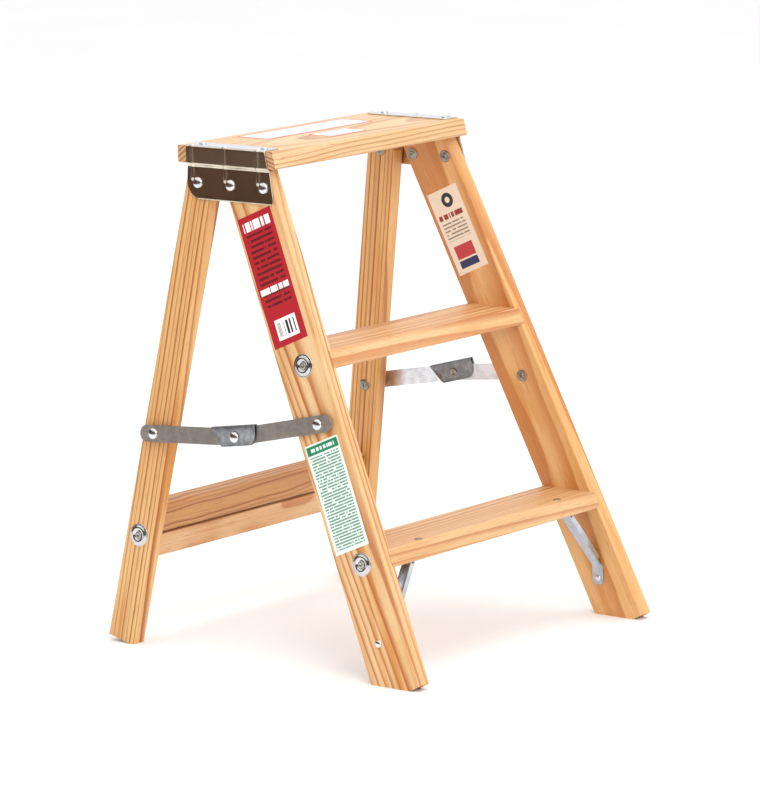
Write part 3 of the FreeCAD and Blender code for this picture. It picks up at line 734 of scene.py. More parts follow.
@dataclass
class Boards:
    """All the timber of the ladder, each board with its own grain."""

    lengthwise: Triple = (1.0, 0.0, 0.0)
    level: Triple = (0.0, 1.0, 0.0)
    up_the_leg: Triple = (0.0, -LEG_RAKE, 1.0)
    over_the_rail: Triple = (0.0, 1.0, -RAIL_RAKE)
    over_the_leg: Triple = (0.0, 1.0, LEG_RAKE)

    def side_along(self, slope: float, side: Side) -> Triple:
        """Direction up a raked and splayed board."""
        return (-side.value * SPLAY, slope, 1.0)

    def dress(self) -> None:
        """Give every board its pine."""
        for side in Side:
            near = side is Side.LEFT
            prefix = side.name.lower()
            rail = self.near_rail if near else self.far_rail
            foot = tuple(side_point(side, -0.19, 0.0, -0.0095))
            dress(f"{prefix}_front_rail", rail(self.side_along(RAIL_RAKE, side), foot).make())
            leg = self.near_leg if near else self.far_leg
            heel = tuple(side_point(side, 0.205, 0.0, -0.010))
            dress(f"{prefix}_rear_leg", leg(self.side_along(-LEG_RAKE, side), heel).make())
        dress("top_board", self.board().make())
        dress("middle_step", self.middle_step().make())
        dress("lower_step", self.lower_step().make())
        dress("upper_rear_strip", self.upper_strip().make())
        dress("lower_rear_strip", self.lower_strip().make())

    def board(self) -> Pine:
        """Pale wood with fine wavy lines."""
        return Pine("board_pine", self.lengthwise, self.level, (0.0, 0.065, 0.5525), pith=(-0.02, -0.11),
                    drift=(0.02, 0.02), ring=0.0048, seed=61.0, line=0.30, strength=0.85, amber=0.1,
                    wander=0.004, waves=5.0, pale=srgb(226, 190, 146), warm=srgb(218, 178, 128),
                    late=srgb(170, 108, 54))

    def middle_step(self) -> Pine:
        """Broad streaks along the step."""
        return Pine("middle_step_pine", self.lengthwise, self.level, (0.0, -0.04, 0.341), pith=(0.03, -0.060),
                    drift=(0.02, 0.0), ring=0.0062, seed=77.0, line=0.5, wander=0.004, strength=0.85,
                    amber=0.4, pale=srgb(228, 186, 138), warm=srgb(220, 172, 118), late=srgb(182, 106, 44))

    def lower_step(self) -> Pine:
        """Close straight lines."""
        return Pine("lower_step_pine", self.lengthwise, self.level, (0.0, -0.13, 0.135), pith=(0.06, -0.09),
                    drift=(0.01, 0.0), ring=0.0034, seed=93.0, line=0.36, wander=0.002, strength=0.90,
                    amber=0.1, pale=srgb(222, 180, 130), warm=srgb(214, 166, 112), late=srgb(172, 98, 42))

    def upper_strip(self) -> Pine:
        """Long ovals on a deeper ground."""
        return Pine("upper_strip_pine", self.lengthwise, self.up_the_leg, (0.0, 0.18, 0.142),
                    pith=(0.002, 0.020), drift=(0.03, 0.0), ring=0.0042, seed=111.0, waves=7.0, wander=0.011,
                    line=0.30, pale=srgb(206, 152, 96), warm=srgb(194, 136, 80), late=srgb(146, 76, 28))

    def lower_strip(self) -> Pine:
        """Pale wood with soft blotches."""
        return Pine("lower_strip_pine", self.lengthwise, self.up_the_leg, (0.0, 0.185, 0.109),
                    pith=(0.010, 0.060), drift=(0.02, 0.0), ring=0.019, seed=129.0, waves=9.0, wander=0.030,
                    line=0.42, strength=0.80, pale=srgb(228, 190, 146), warm=srgb(218, 172, 120),
                    late=srgb(190, 110, 46))

    def near_rail(self, along: Triple, foot: Triple) -> Pine:
        """Straight lines at the rear, one long golden tongue towards the front."""
        return Pine("left_rail_pine", along, self.over_the_rail, foot, pith=(-0.050, -0.030),
                    drift=(0.075, 0.012), ring=0.0078, wander=0.006, waves=2.2, seed=3.0, line=0.36,
                    amber=0.5, flame=0.85, flame_at=-0.012, pale=srgb(228, 190, 140),
                    warm=srgb(218, 170, 112), late=srgb(178, 98, 34))

    def far_rail(self, along: Triple, foot: Triple) -> Pine:
        """Broad soft orange bands that drift along the board."""
        return Pine("right_rail_pine", along, self.over_the_rail, foot, pith=(0.030, -0.050),
                    drift=(-0.02, 0.03), ring=0.0230, wander=0.014, waves=4.0, seed=17.0, line=0.62,
                    strength=0.85, amber=0.5, flame=0.7, flame_at=0.010, pale=srgb(230, 182, 124),
                    warm=srgb(218, 164, 100), late=srgb(188, 112, 42))

    def near_leg(self, along: Triple, heel: Triple) -> Pine:
        """Close straight lines with short golden streaks."""
        return Pine("left_leg_pine", along, self.over_the_leg, heel, pith=(-0.10, -0.030), drift=(0.02, 0.01),
                    ring=0.0056, wander=0.0030, waves=3.0, seed=31.0, line=0.30, amber=0.9,
                    pale=srgb(226, 182, 122), warm=srgb(214, 162, 98), late=srgb(168, 92, 28))

    def far_leg(self, along: Triple, heel: Triple) -> Pine:
        """Strong dark straight lines on a deeper ground."""
        return Pine("right_leg_pine", along, self.over_the_leg, heel, pith=(0.11, 0.02), drift=(0.015, 0.0),
                    ring=0.0062, wander=0.003, waves=3.4, seed=47.0, line=0.30, amber=0.4,
                    pale=srgb(228, 176, 110), warm=srgb(214, 156, 86), late=srgb(150, 72, 20))


@dataclass
class Labels:
    """Paper labels on the rails and the board; sizes are length and width."""

    red: Pair = (0.149, 0.049)
    green: Pair = (0.1235, 0.048)
    cream: Pair = (0.0995, 0.046)

    def rail_paper(self, style: PrintStyle, node: str, side: Side, size: Pair) -> None:
        """Print a label that lies along a rail.

        Args:
            style: Layout of the label.
            node: Piece that carries it.
            side: Side of the rail.
            size: Length and width of the label.
        """
        low, high = (Vector(corner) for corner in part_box(node))
        along = Vector((-side.value * SPLAY, RAIL_RAKE, 1.0)).normalized()
        across = Vector((0.0, 1.0, -RAIL_RAKE)).normalized()
        if side is Side.LEFT:
            across = -across
        name = f"{style.value}_label_paper"
        dress(node, Paper(name, style, tuple(along), tuple(across), tuple((low + high) / 2.0), *size).make())

    def dress(self) -> None:
        """Print every label."""
        self.rail_paper(PrintStyle.RED, "left_rail_upper_label", Side.LEFT, self.red)
        self.rail_paper(PrintStyle.GREEN, "left_rail_lower_label", Side.LEFT, self.green)
        self.rail_paper(PrintStyle.CREAM, "right_rail_inner_label", Side.RIGHT, self.cream)
        for node in ("board_label", "board_sticker"):
            low, high = (Vector(corner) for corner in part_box(node))
            size = high - low
            dress(node, Paper(f"{node}_paper", PrintStyle.WHITE, (1.0, 0.0, 0.0), (0.0, 1.0, 0.0),
                              tuple((low + high) / 2.0), size.x, size.y).make())


def eased(corners: list[Pair], radii: list[float], steps: int = 6) -> list[Pair]:
    """Line through corners, with every corner eased by a curve.

    Args:
        corners: Points of the line.
        radii: Distance from each inner corner at which its curve starts.
        steps: Points along each curve.

    Returns:
        The eased line.
    """
    line = [corners[0]]
    for before, corner, after, radius in zip(corners, corners[1:], corners[2:], radii):
        here, back, ahead = Vector(corner), Vector(before), Vector(after)
        start = here + (back - here).normalized() * radius
        end = here + (ahead - here).normalized() * radius
        for i in range(steps + 1):
            t = i / steps
            point = start * (1 - t) ** 2 + here * (2 * t * (1 - t)) + end * t ** 2
            line.append((point.x, point.y))
    line.append(corners[-1])
    return line


@dataclass
class EndPlate:
    """Pressed plate that ties the top board to a rail and carries a rear leg; sizes in millimetres."""

    side: Side
    sheet: float = 1.6
    end: float = 171.6
    flange: float = 24.0
    top: float = 563.6
    board_top: float = 562.0
    jog_top: float = 542.7
    jog_low: float = 539.9
    low: float = 504.2
    bends: tuple[float, ...] = (3.2, 1.1, 1.1)
    front: float = 9.8
    front_slope: float = 0.2111
    front_round: float = 5.0
    rear: float = 121.8
    rear_round: float = 20.0
    rib_at: tuple[float, ...] = (20.43, 67.23, 114.03)
    rib_half: float = 3.3
    rib_rise: float = 1.25
    rib_low: float = 524.5
    rib_over: float = 4.0
    rib_end: float = 3.0
    mesh_step: float = 1.3
    columns: int = 190

    def section(self) -> list[Pair]:
        """Line of the outer face from the flange's edge down to the lower edge."""
        jog = half_at(self.jog_low * MILLIMETRE) / MILLIMETRE + self.sheet
        foot = half_at(self.low * MILLIMETRE) / MILLIMETRE + self.sheet
        corners = [(self.end - self.flange, self.top), (self.end, self.top), (self.end, self.jog_top),
                   (jog, self.jog_low), (foot, self.low)]
        coarse = eased(corners, list(self.bends))
        fine = [coarse[0]]
        for start, stop in zip(coarse, coarse[1:]):
            pieces = max(1, math.ceil(math.dist(start, stop) / self.mesh_step))
            for i in range(1, pieces + 1):
                t = i / pieces
                fine.append((start[0] + (stop[0] - start[0]) * t, start[1] + (stop[1] - start[1]) * t))
        return fine

    def rounding(self, radius: float, above: float) -> float:
        """Distance that a rounded lower corner takes off, above millimetres over the lower edge."""
        if above >= radius:
            return 0.0
        return radius - math.sqrt(max(radius ** 2 - (radius - above) ** 2, 0.0))

    def span(self, z: float) -> Pair:
        """Front and rear ends of the plate at height z."""
        above = z - self.low
        front = self.front + (z - self.board_top) * self.front_slope + self.rounding(self.front_round, above)
        return front, self.rear - self.rounding(self.rear_round, above)

    def rib(self, y: float, z: float, reach: float) -> float:
        """Height of the ribs at a point.

        Args:
            y: Distance behind the middle.
            z: Height of the point.
            reach: Distance along the section from the flange's edge.

        Returns:
            Height over the plain sheet.
        """
        upper = (reach - self.flange + self.rib_over) / self.rib_end
        lower = (z - self.rib_low) / self.rib_end
        ends = min(1.0, max(0.0, lower), max(0.0, upper))
        rise = 0.0
        for middle in self.rib_at:
            across = abs(y - middle) / self.rib_half
            if across < 1.0 and ends > 0.0:
                rise = max(rise, math.cos(across * math.pi / 2.0) ** 1.3 * math.sqrt(ends))
        return rise * self.rib_rise

    def build(self, material: bpy.types.Material) -> None:
        """Press the plate."""
        prefix = self.side.name.lower()
        line = self.section()
        shape = Shape(f"{prefix}_pressed_plate")
        rows = []
        reach = 0.0
        for i, (x, z) in enumerate(line):
            before, after = line[max(i - 1, 0)], line[min(i + 1, len(line) - 1)]
            reach += math.dist(before, (x, z))
            run = Vector((after[0] - before[0], after[1] - before[1])).normalized()
            normal = Vector((-run.y, run.x))
            front, rear = self.span(min(z, self.board_top))
            row = []
            for j in range(self.columns + 1):
                y = front + (rear - front) * j / self.columns
                lift = self.rib(y, z, reach)
                across = self.side.value * (x + normal.x * lift)
                row.append(Vector((across, y, z + normal.y * lift)) * MILLIMETRE)
            rows.append(row if self.side is Side.LEFT else row[::-1])
        shape.skin(rows)
        shape.finish(material, "front_frame", f"{prefix}_end_plate", "pressed_steel", self.sheet * MILLIMETRE)


@dataclass
class Rivets:
    """Rivets, nails, dished washers and truss rods.

    Spots are a distance behind the middle and a height on the rail face, in metres.
    Outs are distances off the rail face in metres. Profiles are radius and height
    pairs in millimetres, from the middle outwards. The front rods lie on a line that
    rakes like the rails and meets the ground at front_truss_foot.
    """

    pivot: Pair = (0.106437, 0.522)
    pitch: float = 0.0468
    front_end: Pair = (-0.075751, 0.2735)
    rear_end: Pair = (0.157343, 0.2406)
    knees: dict[Side, Pair] = field(default_factory=lambda: {
        Side.LEFT: (0.038376, 0.248382), Side.RIGHT: (0.040208, 0.261271)})
    brace_foot: Pair = (-0.165704, 0.0455)
    brace_step_x: float = 0.126
    lower_step_top: float = 0.1445
    nail_x: float = 0.1596
    nail_y: Pair = (0.0188, 0.1068)
    flange_top: float = 0.5636
    front_truss_z: Pair = (0.1282, 0.3343)
    front_truss_foot: float = -0.19451
    rear_truss: Pair = (0.181282, 0.124)
    leg_recess: float = 0.0011
    rod: float = 2.5
    plate_out: float = 0.0016
    rail_washer_out: float = -0.0202
    pivot_washer_in: float = 0.0199
    leg_inside_out: float = -0.0191
    washer: tuple[Pair, ...] = ((0.0, 1.2), (3.4, 1.2), (6.2, 1.15), (6.6, 0.9), (6.8, 0.5), (6.8, 0.0))
    washer_height: float = 0.0012
    nail: tuple[Pair, ...] = (
        (0.0, 1.1), (1.4, 1.15), (2.4, 1.5), (3.2, 1.55), (3.8, 1.1), (4.2, 0.3), (4.2, 0.0))
    stub: tuple[Pair, ...] = (
        (0.0, 0.25), (1.2, 0.3), (1.9, 0.8), (3.0, 1.0), (4.0, 0.75), (4.6, 0.2), (4.6, 0.0))
    knee_back: tuple[Pair, ...] = ((0.0, 0.5), (1.8, 0.55), (2.6, 1.0), (4.4, 0.95), (5.1, 0.6), (5.2, 0.0))
    rod_end: tuple[Pair, ...] = (
        (0.0, 0.75), (0.9, 0.85), (1.7, 1.25), (2.6, 1.3), (3.5, 1.15), (4.1, 0.6), (4.2, 0.0))
    dish: tuple[Pair, ...] = (
        (3.0, 0.4), (4.3, 0.45), (5.0, 0.75), (5.9, 1.45), (6.9, 1.95), (8.0, 2.1), (9.2, 1.85), (10.3, 1.15),
        (11.1, 0.62), (11.7, 0.50), (12.3, 0.62), (12.75, 0.50), (13.0, 0.2), (13.0, 0.0))

    def dome(self, radius: float, rise: float) -> list[Pair]:
        """Profile of a domed head that stands on a short square foot."""
        foot = 0.5
        line = [(radius * math.sin(math.radians(a)), foot + rise * (0.06 + 0.94 * math.cos(math.radians(a))))
                for a in range(0, 91, 6)]
        return line + [(radius, 0.0)]

    def head(self) -> list[Pair]:
        """Profile of the large rivet head."""
        return self.dome(6.1, 2.9)

    def peened(self) -> list[Pair]:
        """Profile of a rolled rivet end with a hollow middle."""
        radius, rise = 3.6, 1.3
        return [(0.0, 0.15), (radius * 0.32, 0.15), (radius * 0.40, rise * 0.8), (radius * 0.55, rise),
                (radius * 0.75, rise * 0.92), (radius * 0.93, rise * 0.5), (radius, 0.0)]

    def put(self, shape: Shape, profile: list[Pair], side: Side, spot: Pair, out: float,
            inward: bool = False) -> None:
        """Turn one head square to a side.

        Args:
            shape: Shape that gains the head.
            profile: Radius and height pairs.
            side: Side of the ladder.
            spot: Place on the rail face.
            out: Distance off the rail face.
            inward: Look towards the middle of the ladder.
        """
        axis = outward(side) * (-1.0 if inward else 1.0)
        shape.turned(profile, side_point(side, *spot, out), axis)

    def build(self, bright: bpy.types.Material, zinc: bpy.types.Material, rod: bpy.types.Material,
              dull: bpy.types.Material, clinch: bpy.types.Material) -> None:
        """Make every round piece.

        Args:
            bright: Finish of the rivets.
            zinc: Finish of the washers.
            rod: Finish of the truss rods.
            dull: Finish of the flat rivets in the lower step.
            clinch: Finish of the rolled inner ends.
        """
        self.plate_rivets(bright, clinch)
        self.pivots(bright, clinch)
        self.nails(zinc)
        self.trusses(zinc, rod)
        self.brace_rivets(bright, dull)
        self.spreader_ends(bright, clinch)

    def plate_rivets(self, bright: bpy.types.Material, clinch: bpy.types.Material) -> None:
        """Fixed rivets through the end plates and the rails."""
        shape = Shape("plate_rivet_heads")
        for number in (1, 2):
            spot = (self.pivot[0] - self.pitch * number, self.pivot[1])
            for side in Side:
                self.put(shape, self.head(), side, spot, self.plate_out)
                self.put(shape, self.peened(), side, spot, self.rail_washer_out, inward=True)
        shape.finish(bright, "front_frame", "plate_rivets", "bright_rivet", inside=clinch)

    def pivots(self, bright: bpy.types.Material, clinch: bpy.types.Material) -> None:
        """Rivets that the rear legs turn on, with their washers and level shanks."""
        shape = Shape("pivot_rivet_heads")
        for side in Side:
            self.put(shape, self.head(), side, self.pivot, self.plate_out)
            step_in = Vector((side.value * self.pivot_washer_in / math.cos(LEAN), 0.0, 0.0))
            inner = side_point(side, *self.pivot, 0.0) - step_in
            axis = -outward(side)
            shape.turned(list(self.washer), inner, axis)
            shape.turned(self.peened(), inner + axis * self.washer_height, axis)
            shape.turned([(3.2, -20.0), (3.2, 0.0)], inner, axis, 24)
        shape.finish(bright, "front_frame", "pivot_rivets", "bright_rivet", inside=clinch)

    def nails(self, zinc: bpy.types.Material) -> None:
        """Ringed nail heads in the plates' flanges."""
        shape = Shape("flange_nail_heads")
        for side in Side:
            for y in self.nail_y:
                shape.turned(list(self.nail), Vector((side.value * self.nail_x, y, self.flange_top)), UP, 32)
        shape.finish(zinc, "front_frame", "flange_nails", "bright_rivet")

    def trusses(self, zinc: bpy.types.Material, rod: bpy.types.Material) -> None:
        """Truss rods with their dished washers."""
        under_steps = [(z * RAIL_RAKE + self.front_truss_foot, z, 0.0) for z in self.front_truss_z]
        self.truss("front_truss", "front_frame", under_steps, "front_truss_rods", zinc, rod)
        between_strips = [(*self.rear_truss, -self.leg_recess)]
        self.truss("rear_truss", "rear_frame", between_strips, "rear_truss_rod", zinc, rod)

    def truss(self, name: str, body: str, places: list[Triple], rods: str, zinc: bpy.types.Material,
              rod: bpy.types.Material) -> None:
        """Rods of one frame.

        Args:
            name: Start of the pieces' names.
            body: Body that carries the rods.
            places: Distance behind the middle, height and distance out of each rod.
            rods: Plain piece that holds the rods.
            zinc: Finish of the washers.
            rod: Finish of the rods.
        """
        dishes, bars = Shape(f"{name}_dishes"), Shape(f"{name}_bars")
        for y, z, out in places:
            for side in Side:
                self.put(dishes, list(self.dish), side, (y, z), out)
                self.put(bars, list(self.rod_end), side, (y, z), out + 0.75 * MILLIMETRE)
            half = (half_at(z) + out) / MILLIMETRE
            span = [(self.rod, -half), (self.rod, half)]
            bars.turned(span, Vector((0.0, y, z)), Vector((1.0, 0.0, 0.0)), 24)
        dishes.finish(zinc, body, f"{name}_washers", "zinc_washer")
        bars.finish(rod, body, rods, "drawn_rod")

    def brace_rivets(self, bright: bpy.types.Material, dull: bpy.types.Material) -> None:
        """Rivets at both ends of the foot braces."""
        small, back = self.dome(4.2, 2.2), self.dome(3.6, 1.4)
        feet = Shape("brace_foot_rivet_heads")
        steps = Shape("brace_step_rivet_heads")
        low, high = (Vector(corner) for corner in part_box("brace_step_rivets"))
        y = (low.y + high.y) / 2.0
        for side in Side:
            self.put(feet, small, side, self.brace_foot, 0.0)
            self.put(feet, back, side, self.brace_foot, -0.0208, inward=True)
            x = side.value * self.brace_step_x
            steps.turned(list(self.stub), Vector((x, y, self.lower_step_top)), UP, 32)
            steps.turned(back, Vector((x, y, low.z + 0.0014)), -UP, 32)
        feet.finish(bright, "front_frame", "brace_foot_rivets", "bright_rivet")
        steps.finish(dull, "front_frame", "brace_step_rivets", "bright_rivet")

    def spreader_ends(self, bright: bpy.types.Material, clinch: bpy.types.Material) -> None:
        """Rivets at the ends and knees of the spreaders."""
        front = Shape("spreader_front_rivet_heads")
        inside = Shape("leg_clinch_heads")
        clinch_out = self.leg_inside_out - self.washer_height
        for side in Side:
            self.put(front, self.head(), side, self.front_end, Spreader.front_out + Spreader.sheet + 0.00015)
            self.put(front, self.peened(), side, self.front_end, self.rail_washer_out, inward=True)
            self.put(inside, list(self.washer), side, self.rear_end, self.leg_inside_out, inward=True)
            self.put(inside, self.peened(), side, self.rear_end, clinch_out, inward=True)
        front.finish(bright, "front_frame", "spreader_front_rivets", "bright_rivet", inside=clinch)
        inside.finish(clinch, "rear_frame", "leg_clinch_washers", "zinc_washer")
        for side in Side:
            prefix = side.name.lower()
            knee = Shape(f"{prefix}_knee_rivet_heads")
            self.put(knee, self.head(), side, self.knees[side], Spreader.cheek_out)
            self.put(knee, list(self.knee_back), side, self.knees[side], Spreader.cheek_in, inward=True)
            knee.finish(bright, f"{prefix}_rear_bar", f"{prefix}_spreader_knee_rivet", "bright_rivet",
                        inside=clinch)
            rear = Shape(f"{prefix}_rear_rivet_heads")
            self.put(rear, self.head(), side, self.rear_end, Spreader.rear_out + Spreader.sheet)
            rear.finish(bright, f"{prefix}_rear_bar", f"{prefix}_spreader_rear_rivet", "bright_rivet")


@dataclass
class Spreader:
    """Two flat bars and the pressed saddle that locks them; sizes in metres.

    Outs are distances off the rail face. The saddle's own measures run rearwards
    along the rear bar, and across it, from the knee.
    """

    side: Side
    front: Pair
    knee: Pair
    rear: Pair
    half: float = 0.0095
    tail: float = 0.010
    sheet: float = 0.0016
    edge: float = 0.0004
    front_out: float = 0.00355
    rear_out: float = 0.0053
    cheek_in: float = 0.0024
    cheek_out: float = 0.0079
    cheek_sheet: float = 0.001
    tilt: float = math.radians(4.5)
    saddle_front: float = -0.0295
    saddle_length: float = 0.0620
    saddle_top: float = 0.0132
    saddle_low: float = -0.0098
    front_round_from: float = -0.0175
    rear_slant_from: float = 0.0195

    def at(self, y: float, rise: float, out: float) -> Vector:
        """Point of the side plane from its distance along Y and up the slope from the top."""
        return side_point(self.side, y, HEIGHT + rise * math.cos(LEAN), out)

    def climb(self, spot: Pair) -> Pair:
        """Spot given as y and height, in the side plane's own measure."""
        return spot[0], (spot[1] - HEIGHT) / math.cos(LEAN)

    def bar(self, prefix: str, end: str, start: Pair, out: float, material: bpy.types.Material) -> None:
        """Flat bar with full round ends and softened edges.

        Args:
            prefix: Side in the names.
            end: Frame that the bar is riveted to, front or rear.
            start: Spot of that rivet.
            out: Distance of the bar's inner face off the rail face.
            material: Finish of the bar.
        """
        (y0, v0), (y1, v1) = self.climb(start), self.climb(self.knee)
        heading = math.atan2(v1 - v0, y1 - y0)
        tail = (y0 - math.cos(heading) * self.tail, v0 - math.sin(heading) * self.tail)
        outline = []
        for (y, v), first in ((tail, heading + math.pi / 2.0), ((y1, v1), heading - math.pi / 2.0)):
            for i in range(17):
                angle = first + math.pi * i / 16.0
                outline.append(self.at(y + self.half * math.cos(angle), v + self.half * math.sin(angle), out))
        shape = Shape(f"{prefix}_spreader_{end}_bar_strap")
        shape.flat(outline, outward(self.side), self.sheet, self.edge)
        shape.finish(material, f"{prefix}_{end}_bar", f"{prefix}_spreader_{end}_bar", "spreader_zinc")

    def cheek_low(self, s: float) -> float:
        """Lower edge of the saddle's cheeks, s metres behind the knee."""
        low = self.saddle_low
        if s < self.front_round_from:
            share = (self.front_round_from - s) / 0.012
            low += 0.0135 * (1.0 - math.sqrt(max(1.0 - share ** 2, 0.0)))
        if s > self.rear_slant_from:
            low += 0.0215 * ((s - self.rear_slant_from) / 0.013) ** 1.15
        return low

    def saddle(self, prefix: str, material: bpy.types.Material) -> None:
        """Channel pressed over both bars, open at its lower side.

        Args:
            prefix: Side in the names.
            material: Finish of the saddle.
        """
        (ky, kv), (ay, av) = self.climb(self.knee), self.climb(self.rear)
        angle = math.atan2(av - kv, ay - ky) - self.tilt
        below, bend, top = -1.0, 0.0016, self.saddle_top
        near, far = self.cheek_in, self.cheek_out
        corners = [(near, below), (near, top), (far, top), (far, below)]
        fold = eased(corners, [bend, bend], 5)
        rows = []
        for i in range(45):
            s = self.saddle_front + self.saddle_length * i / 44.0
            row = []
            for out, t in fold:
                across = self.cheek_low(s) if t == below else t
                y = ky + math.cos(angle) * s - math.sin(angle) * across
                v = kv + math.sin(angle) * s + math.cos(angle) * across
                row.append(self.at(y, v, out))
            rows.append(row if self.side is Side.RIGHT else row[::-1])
        shape = Shape(f"{prefix}_spreader_saddle_press")
        shape.skin(rows)
        shape.finish(material, f"{prefix}_rear_bar", f"{prefix}_spreader_saddle", "spreader_zinc",
                     self.cheek_sheet)

    def build(self, zinc: bpy.types.Material, dark: bpy.types.Material) -> None:
        """Make the bars and the saddle.

        Args:
            zinc: Finish of the bars.
            dark: Finish of the saddle.
        """
        prefix = self.side.name.lower()
        self.bar(prefix, "front", self.front, self.front_out, zinc)
        self.bar(prefix, "rear", self.rear, self.rear_out, zinc)
        self.saddle(prefix, dark)


@dataclass
class Ironwork:
    """Steel pieces of the ladder and their finishes."""

    # Painted reflection: the plate's upper colour makes faces that look up, such as the flange tops, bluish
    # white like the pale sky they mirror.
    plate: Metal = Metal("pressed_plate_steel", srgb(226, 215, 198), srgb(200, 187, 168), 0.20, 60.0, 0.03,
                         0.70,
                         grain=(900.0, 900.0, 30.0), upper=srgb(212, 216, 226))
    rivet: Metal = Metal("rivet_steel", srgb(236, 237, 240), srgb(216, 218, 222), 0.20, 300.0, 0.03, 0.10)
    washer: Metal = Metal("washer_zinc", srgb(216, 216, 216), srgb(196, 196, 196), 0.17, 240.0, 0.04, 0.15)
    # Painted light: the two bar finishes are one zinc. The near copy, also used on the truss rods, is darker
    # and warmer as painted shade. The far copy is whiter, with more bright streaks, as a painted reflection
    # of the pale floor.
    bar: Metal = Metal("near_bar_zinc", srgb(204, 198, 192), srgb(178, 170, 164), 0.34, 120.0, 0.06, 0.40)
    far_bar: Metal = Metal("far_bar_zinc", srgb(240, 242, 245), srgb(210, 214, 220), 0.34, 120.0, 0.06, 0.60)
    saddle: Metal = Metal("saddle_zinc", srgb(164, 166, 170), srgb(130, 132, 136), 0.42, 150.0, 0.06, 0.20)
    brace: Metal = Metal("brace_zinc", srgb(206, 213, 222), srgb(180, 190, 202), 0.38, 110.0, 0.05, 0.25)
    clinch: Metal = Metal("clinched_steel", srgb(176, 172, 164), srgb(132, 124, 112), 0.32, 260.0, 0.06, 0.20)
    stub: Metal = Metal("brace_rivet_steel", srgb(170, 150, 132), srgb(140, 120, 104), 0.45, 200.0, 0.05,
                        0.10)
    finishes: tuple[str, ...] = (
        "plate", "rivet", "washer", "bar", "far_bar", "saddle", "brace", "stub", "clinch")
    carried: dict[str, tuple[str, ...]] = field(default_factory=lambda: {
        "clinch": ("plate_rivet_washers", "spreader_front_washers"),
        "washer": ("spreader_front_collars", "left_spreader_rear_collar", "right_spreader_rear_collar"),
        "brace": ("left_foot_brace", "right_foot_brace"),
    })

    def build(self) -> None:
        """Make and finish every steel piece."""
        made = {name: getattr(self, name).make() for name in self.finishes}
        for finish, nodes in self.carried.items():
            for node in nodes:
                dress(node, made[finish])
        for side in Side:
            EndPlate(side).build(made["plate"])
        rivets = Rivets()
        rivets.build(made["rivet"], made["washer"], made["bar"], made["stub"], made["clinch"])
        for side in Side:
            # Painted light: the near bars get the shaded copy of the zinc, and the far bar gets the lit copy.
            strap = made["bar"] if side is Side.LEFT else made["far_bar"]
            Spreader(side, rivets.front_end, rivets.knees[side], rivets.rear_end).build(strap, made["saddle"])


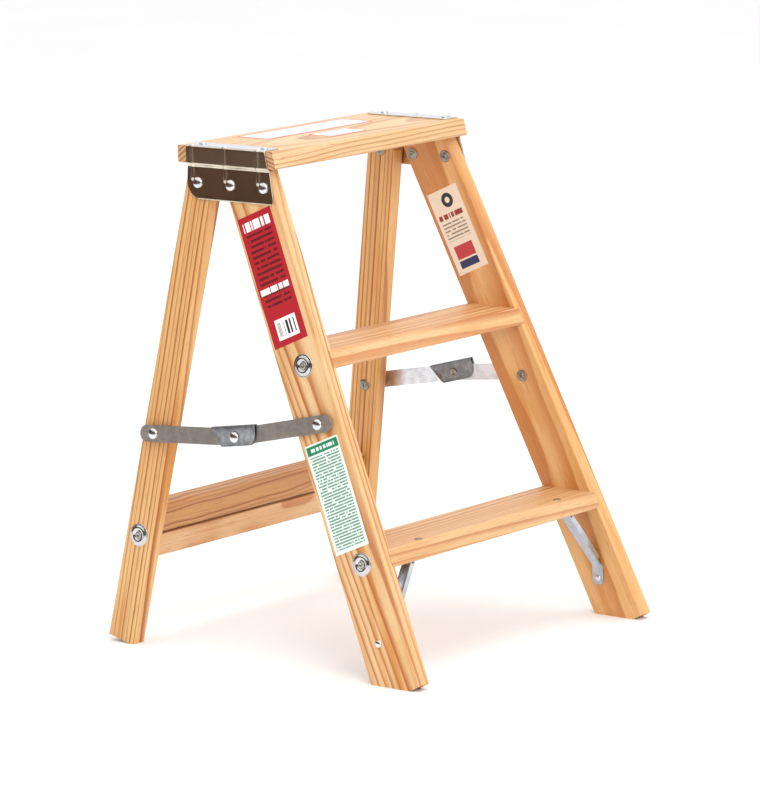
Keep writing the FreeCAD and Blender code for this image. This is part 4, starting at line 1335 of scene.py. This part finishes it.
@dataclass
class Studio:
    """Floor, lights and camera.

    Turns are in radians and lengths in metres, but the lens is in millimetres. The
    camera's aim is moved off the middle to the right and up.
    """

    azimuth: float = math.radians(-51.118)
    elevation: float = math.radians(10.322)
    roll: float = math.radians(-1.273)
    distance: float = 5.3022
    lens: float = 225.42
    middle: Triple = (0.0, -0.0428, 0.290)
    aim_right: float = -0.028919
    aim_up: float = -0.021755
    card_facing: float = math.atan2(0.6175, -0.785)
    card_reach: float = math.radians(78.0)
    card_away: float = 2.3
    card_heights: Triple = (0.02, 0.5, 1.25)
    card_columns: int = 48

    def floor(self) -> None:
        """Pale floor that fades into the backdrop."""
        mesh = bpy.data.meshes.new("studio_floor")
        shape = bmesh.new()
        bmesh.ops.create_circle(shape, cap_ends=True, segments=96, radius=40.0)
        shape.to_mesh(mesh)
        shape.free()
        piece = bpy.data.objects.new("studio_floor", mesh)
        bpy.context.scene.collection.objects.link(piece)
        graph = Graph("studio_floor_paint")
        soft = graph.noise(graph.place(), 3.0, 2.0, 0.5)
        tone = graph.blend(soft, (0.90, 0.90, 0.90), (0.93, 0.93, 0.93))
        graph.paint(tone, graph.sum("MULTIPLY_ADD", soft, 0.1, 0.8))
        mesh.materials.append(graph.material)

    def card(self) -> None:
        """Curved dark card beside the ladder that only the polished steel mirrors."""
        mesh = bpy.data.meshes.new("studio_card")
        shape = bmesh.new()
        columns = []
        for i in range(self.card_columns + 1):
            angle = self.card_facing + self.card_reach * (2.0 * i / self.card_columns - 1.0)
            spot = Vector((math.cos(angle), math.sin(angle), 0.0)) * self.card_away
            columns.append([shape.verts.new(spot + UP * height) for height in self.card_heights])
        for near, far in zip(columns, columns[1:]):
            for low in (0, 1):
                shape.faces.new((near[low], far[low], far[low + 1], near[low + 1]))
        shape.to_mesh(mesh)
        shape.free()
        piece = bpy.data.objects.new("studio_card", mesh)
        bpy.context.scene.collection.objects.link(piece)
        graph = Graph("studio_card_felt")
        place = graph.place()
        felt = graph.blend(graph.noise(place, 4.0), srgb(66, 40, 18), srgb(76, 48, 24))
        away = Vector((math.cos(self.card_facing), math.sin(self.card_facing), 0.0)) / self.card_away
        turn = graph.along(place, tuple(away))
        felt = graph.blend(graph.step(turn, 0.86, 0.74), felt, srgb(112, 96, 80))
        felt = graph.blend(graph.step(turn, 0.68, 0.56), felt, srgb(24, 15, 9))
        graph.paint(felt, 0.9)
        mesh.materials.append(graph.material)
        piece.visible_camera = False
        piece.visible_diffuse = False
        piece.visible_shadow = False

    def light(self, name: str, place: Triple, size: float, power: float) -> None:
        """Soft square lamp aimed at the ladder.

        Args:
            name: Name of the lamp.
            place: Where it hangs.
            size: Length of its edge in metres.
            power: Strength in watts.
        """
        lamp = bpy.data.lights.new(name, "AREA")
        lamp.shape = "SQUARE"
        lamp.size = size
        lamp.energy = power
        piece = bpy.data.objects.new(name, lamp)
        piece.location = place
        piece.rotation_euler = (Vector(self.middle) - Vector(place)).to_track_quat("-Z", "Y").to_euler()
        bpy.context.scene.collection.objects.link(piece)

    def sky(self) -> None:
        """Even pale light from all round."""
        world = bpy.data.worlds.new("studio_sky")
        world.use_nodes = True
        world.node_tree.nodes["Background"].inputs[0].default_value = (1.0, 1.0, 1.0, 1.0)
        world.node_tree.nodes["Background"].inputs[1].default_value = 1.06
        bpy.context.scene.world = world

    def camera(self) -> None:
        """Long-lens camera on the left of the climbing side."""
        a, e, c = self.azimuth, self.elevation, self.roll
        back = Vector((math.sin(a) * math.cos(e), -math.cos(a) * math.cos(e), math.sin(e)))
        right = Vector((math.cos(a), math.sin(a), 0.0))
        up = back.cross(right)
        target = Vector(self.middle) + right * self.aim_right + up * self.aim_up
        right_rolled = right * math.cos(c) + up * math.sin(c)
        up_rolled = up * math.cos(c) - right * math.sin(c)
        lens = bpy.data.cameras.new("studio_camera")
        lens.sensor_fit = "HORIZONTAL"
        lens.sensor_width = 36.0
        lens.lens = self.lens
        lens.clip_end = 200.0
        piece = bpy.data.objects.new("studio_camera", lens)
        turn = Matrix((right_rolled, up_rolled, back)).transposed().to_4x4()
        turn.translation = target + back * self.distance
        piece.matrix_world = turn
        bpy.context.scene.collection.objects.link(piece)
        bpy.context.scene.camera = piece

    def build(self) -> None:
        """Set up the studio."""
        self.floor()
        self.card()
        self.sky()
        self.light("key_lamp", (-1.6, -2.6, 2.6), 2.2, 45.0)
        self.light("top_lamp", (0.3, -0.2, 3.0), 2.4, 25.0)
        self.camera()
        bpy.context.scene.view_settings.view_transform = "Standard"
        LOG.info("studio built")


def main() -> None:
    """Build the looks of the ladder in order."""
    logging.basicConfig(level=logging.INFO, format="%(name)s: %(message)s")
    Boards().dress()
    Ironwork().build()
    Labels().dress()
    Studio().build()


if __name__ == "__main__":
    main()
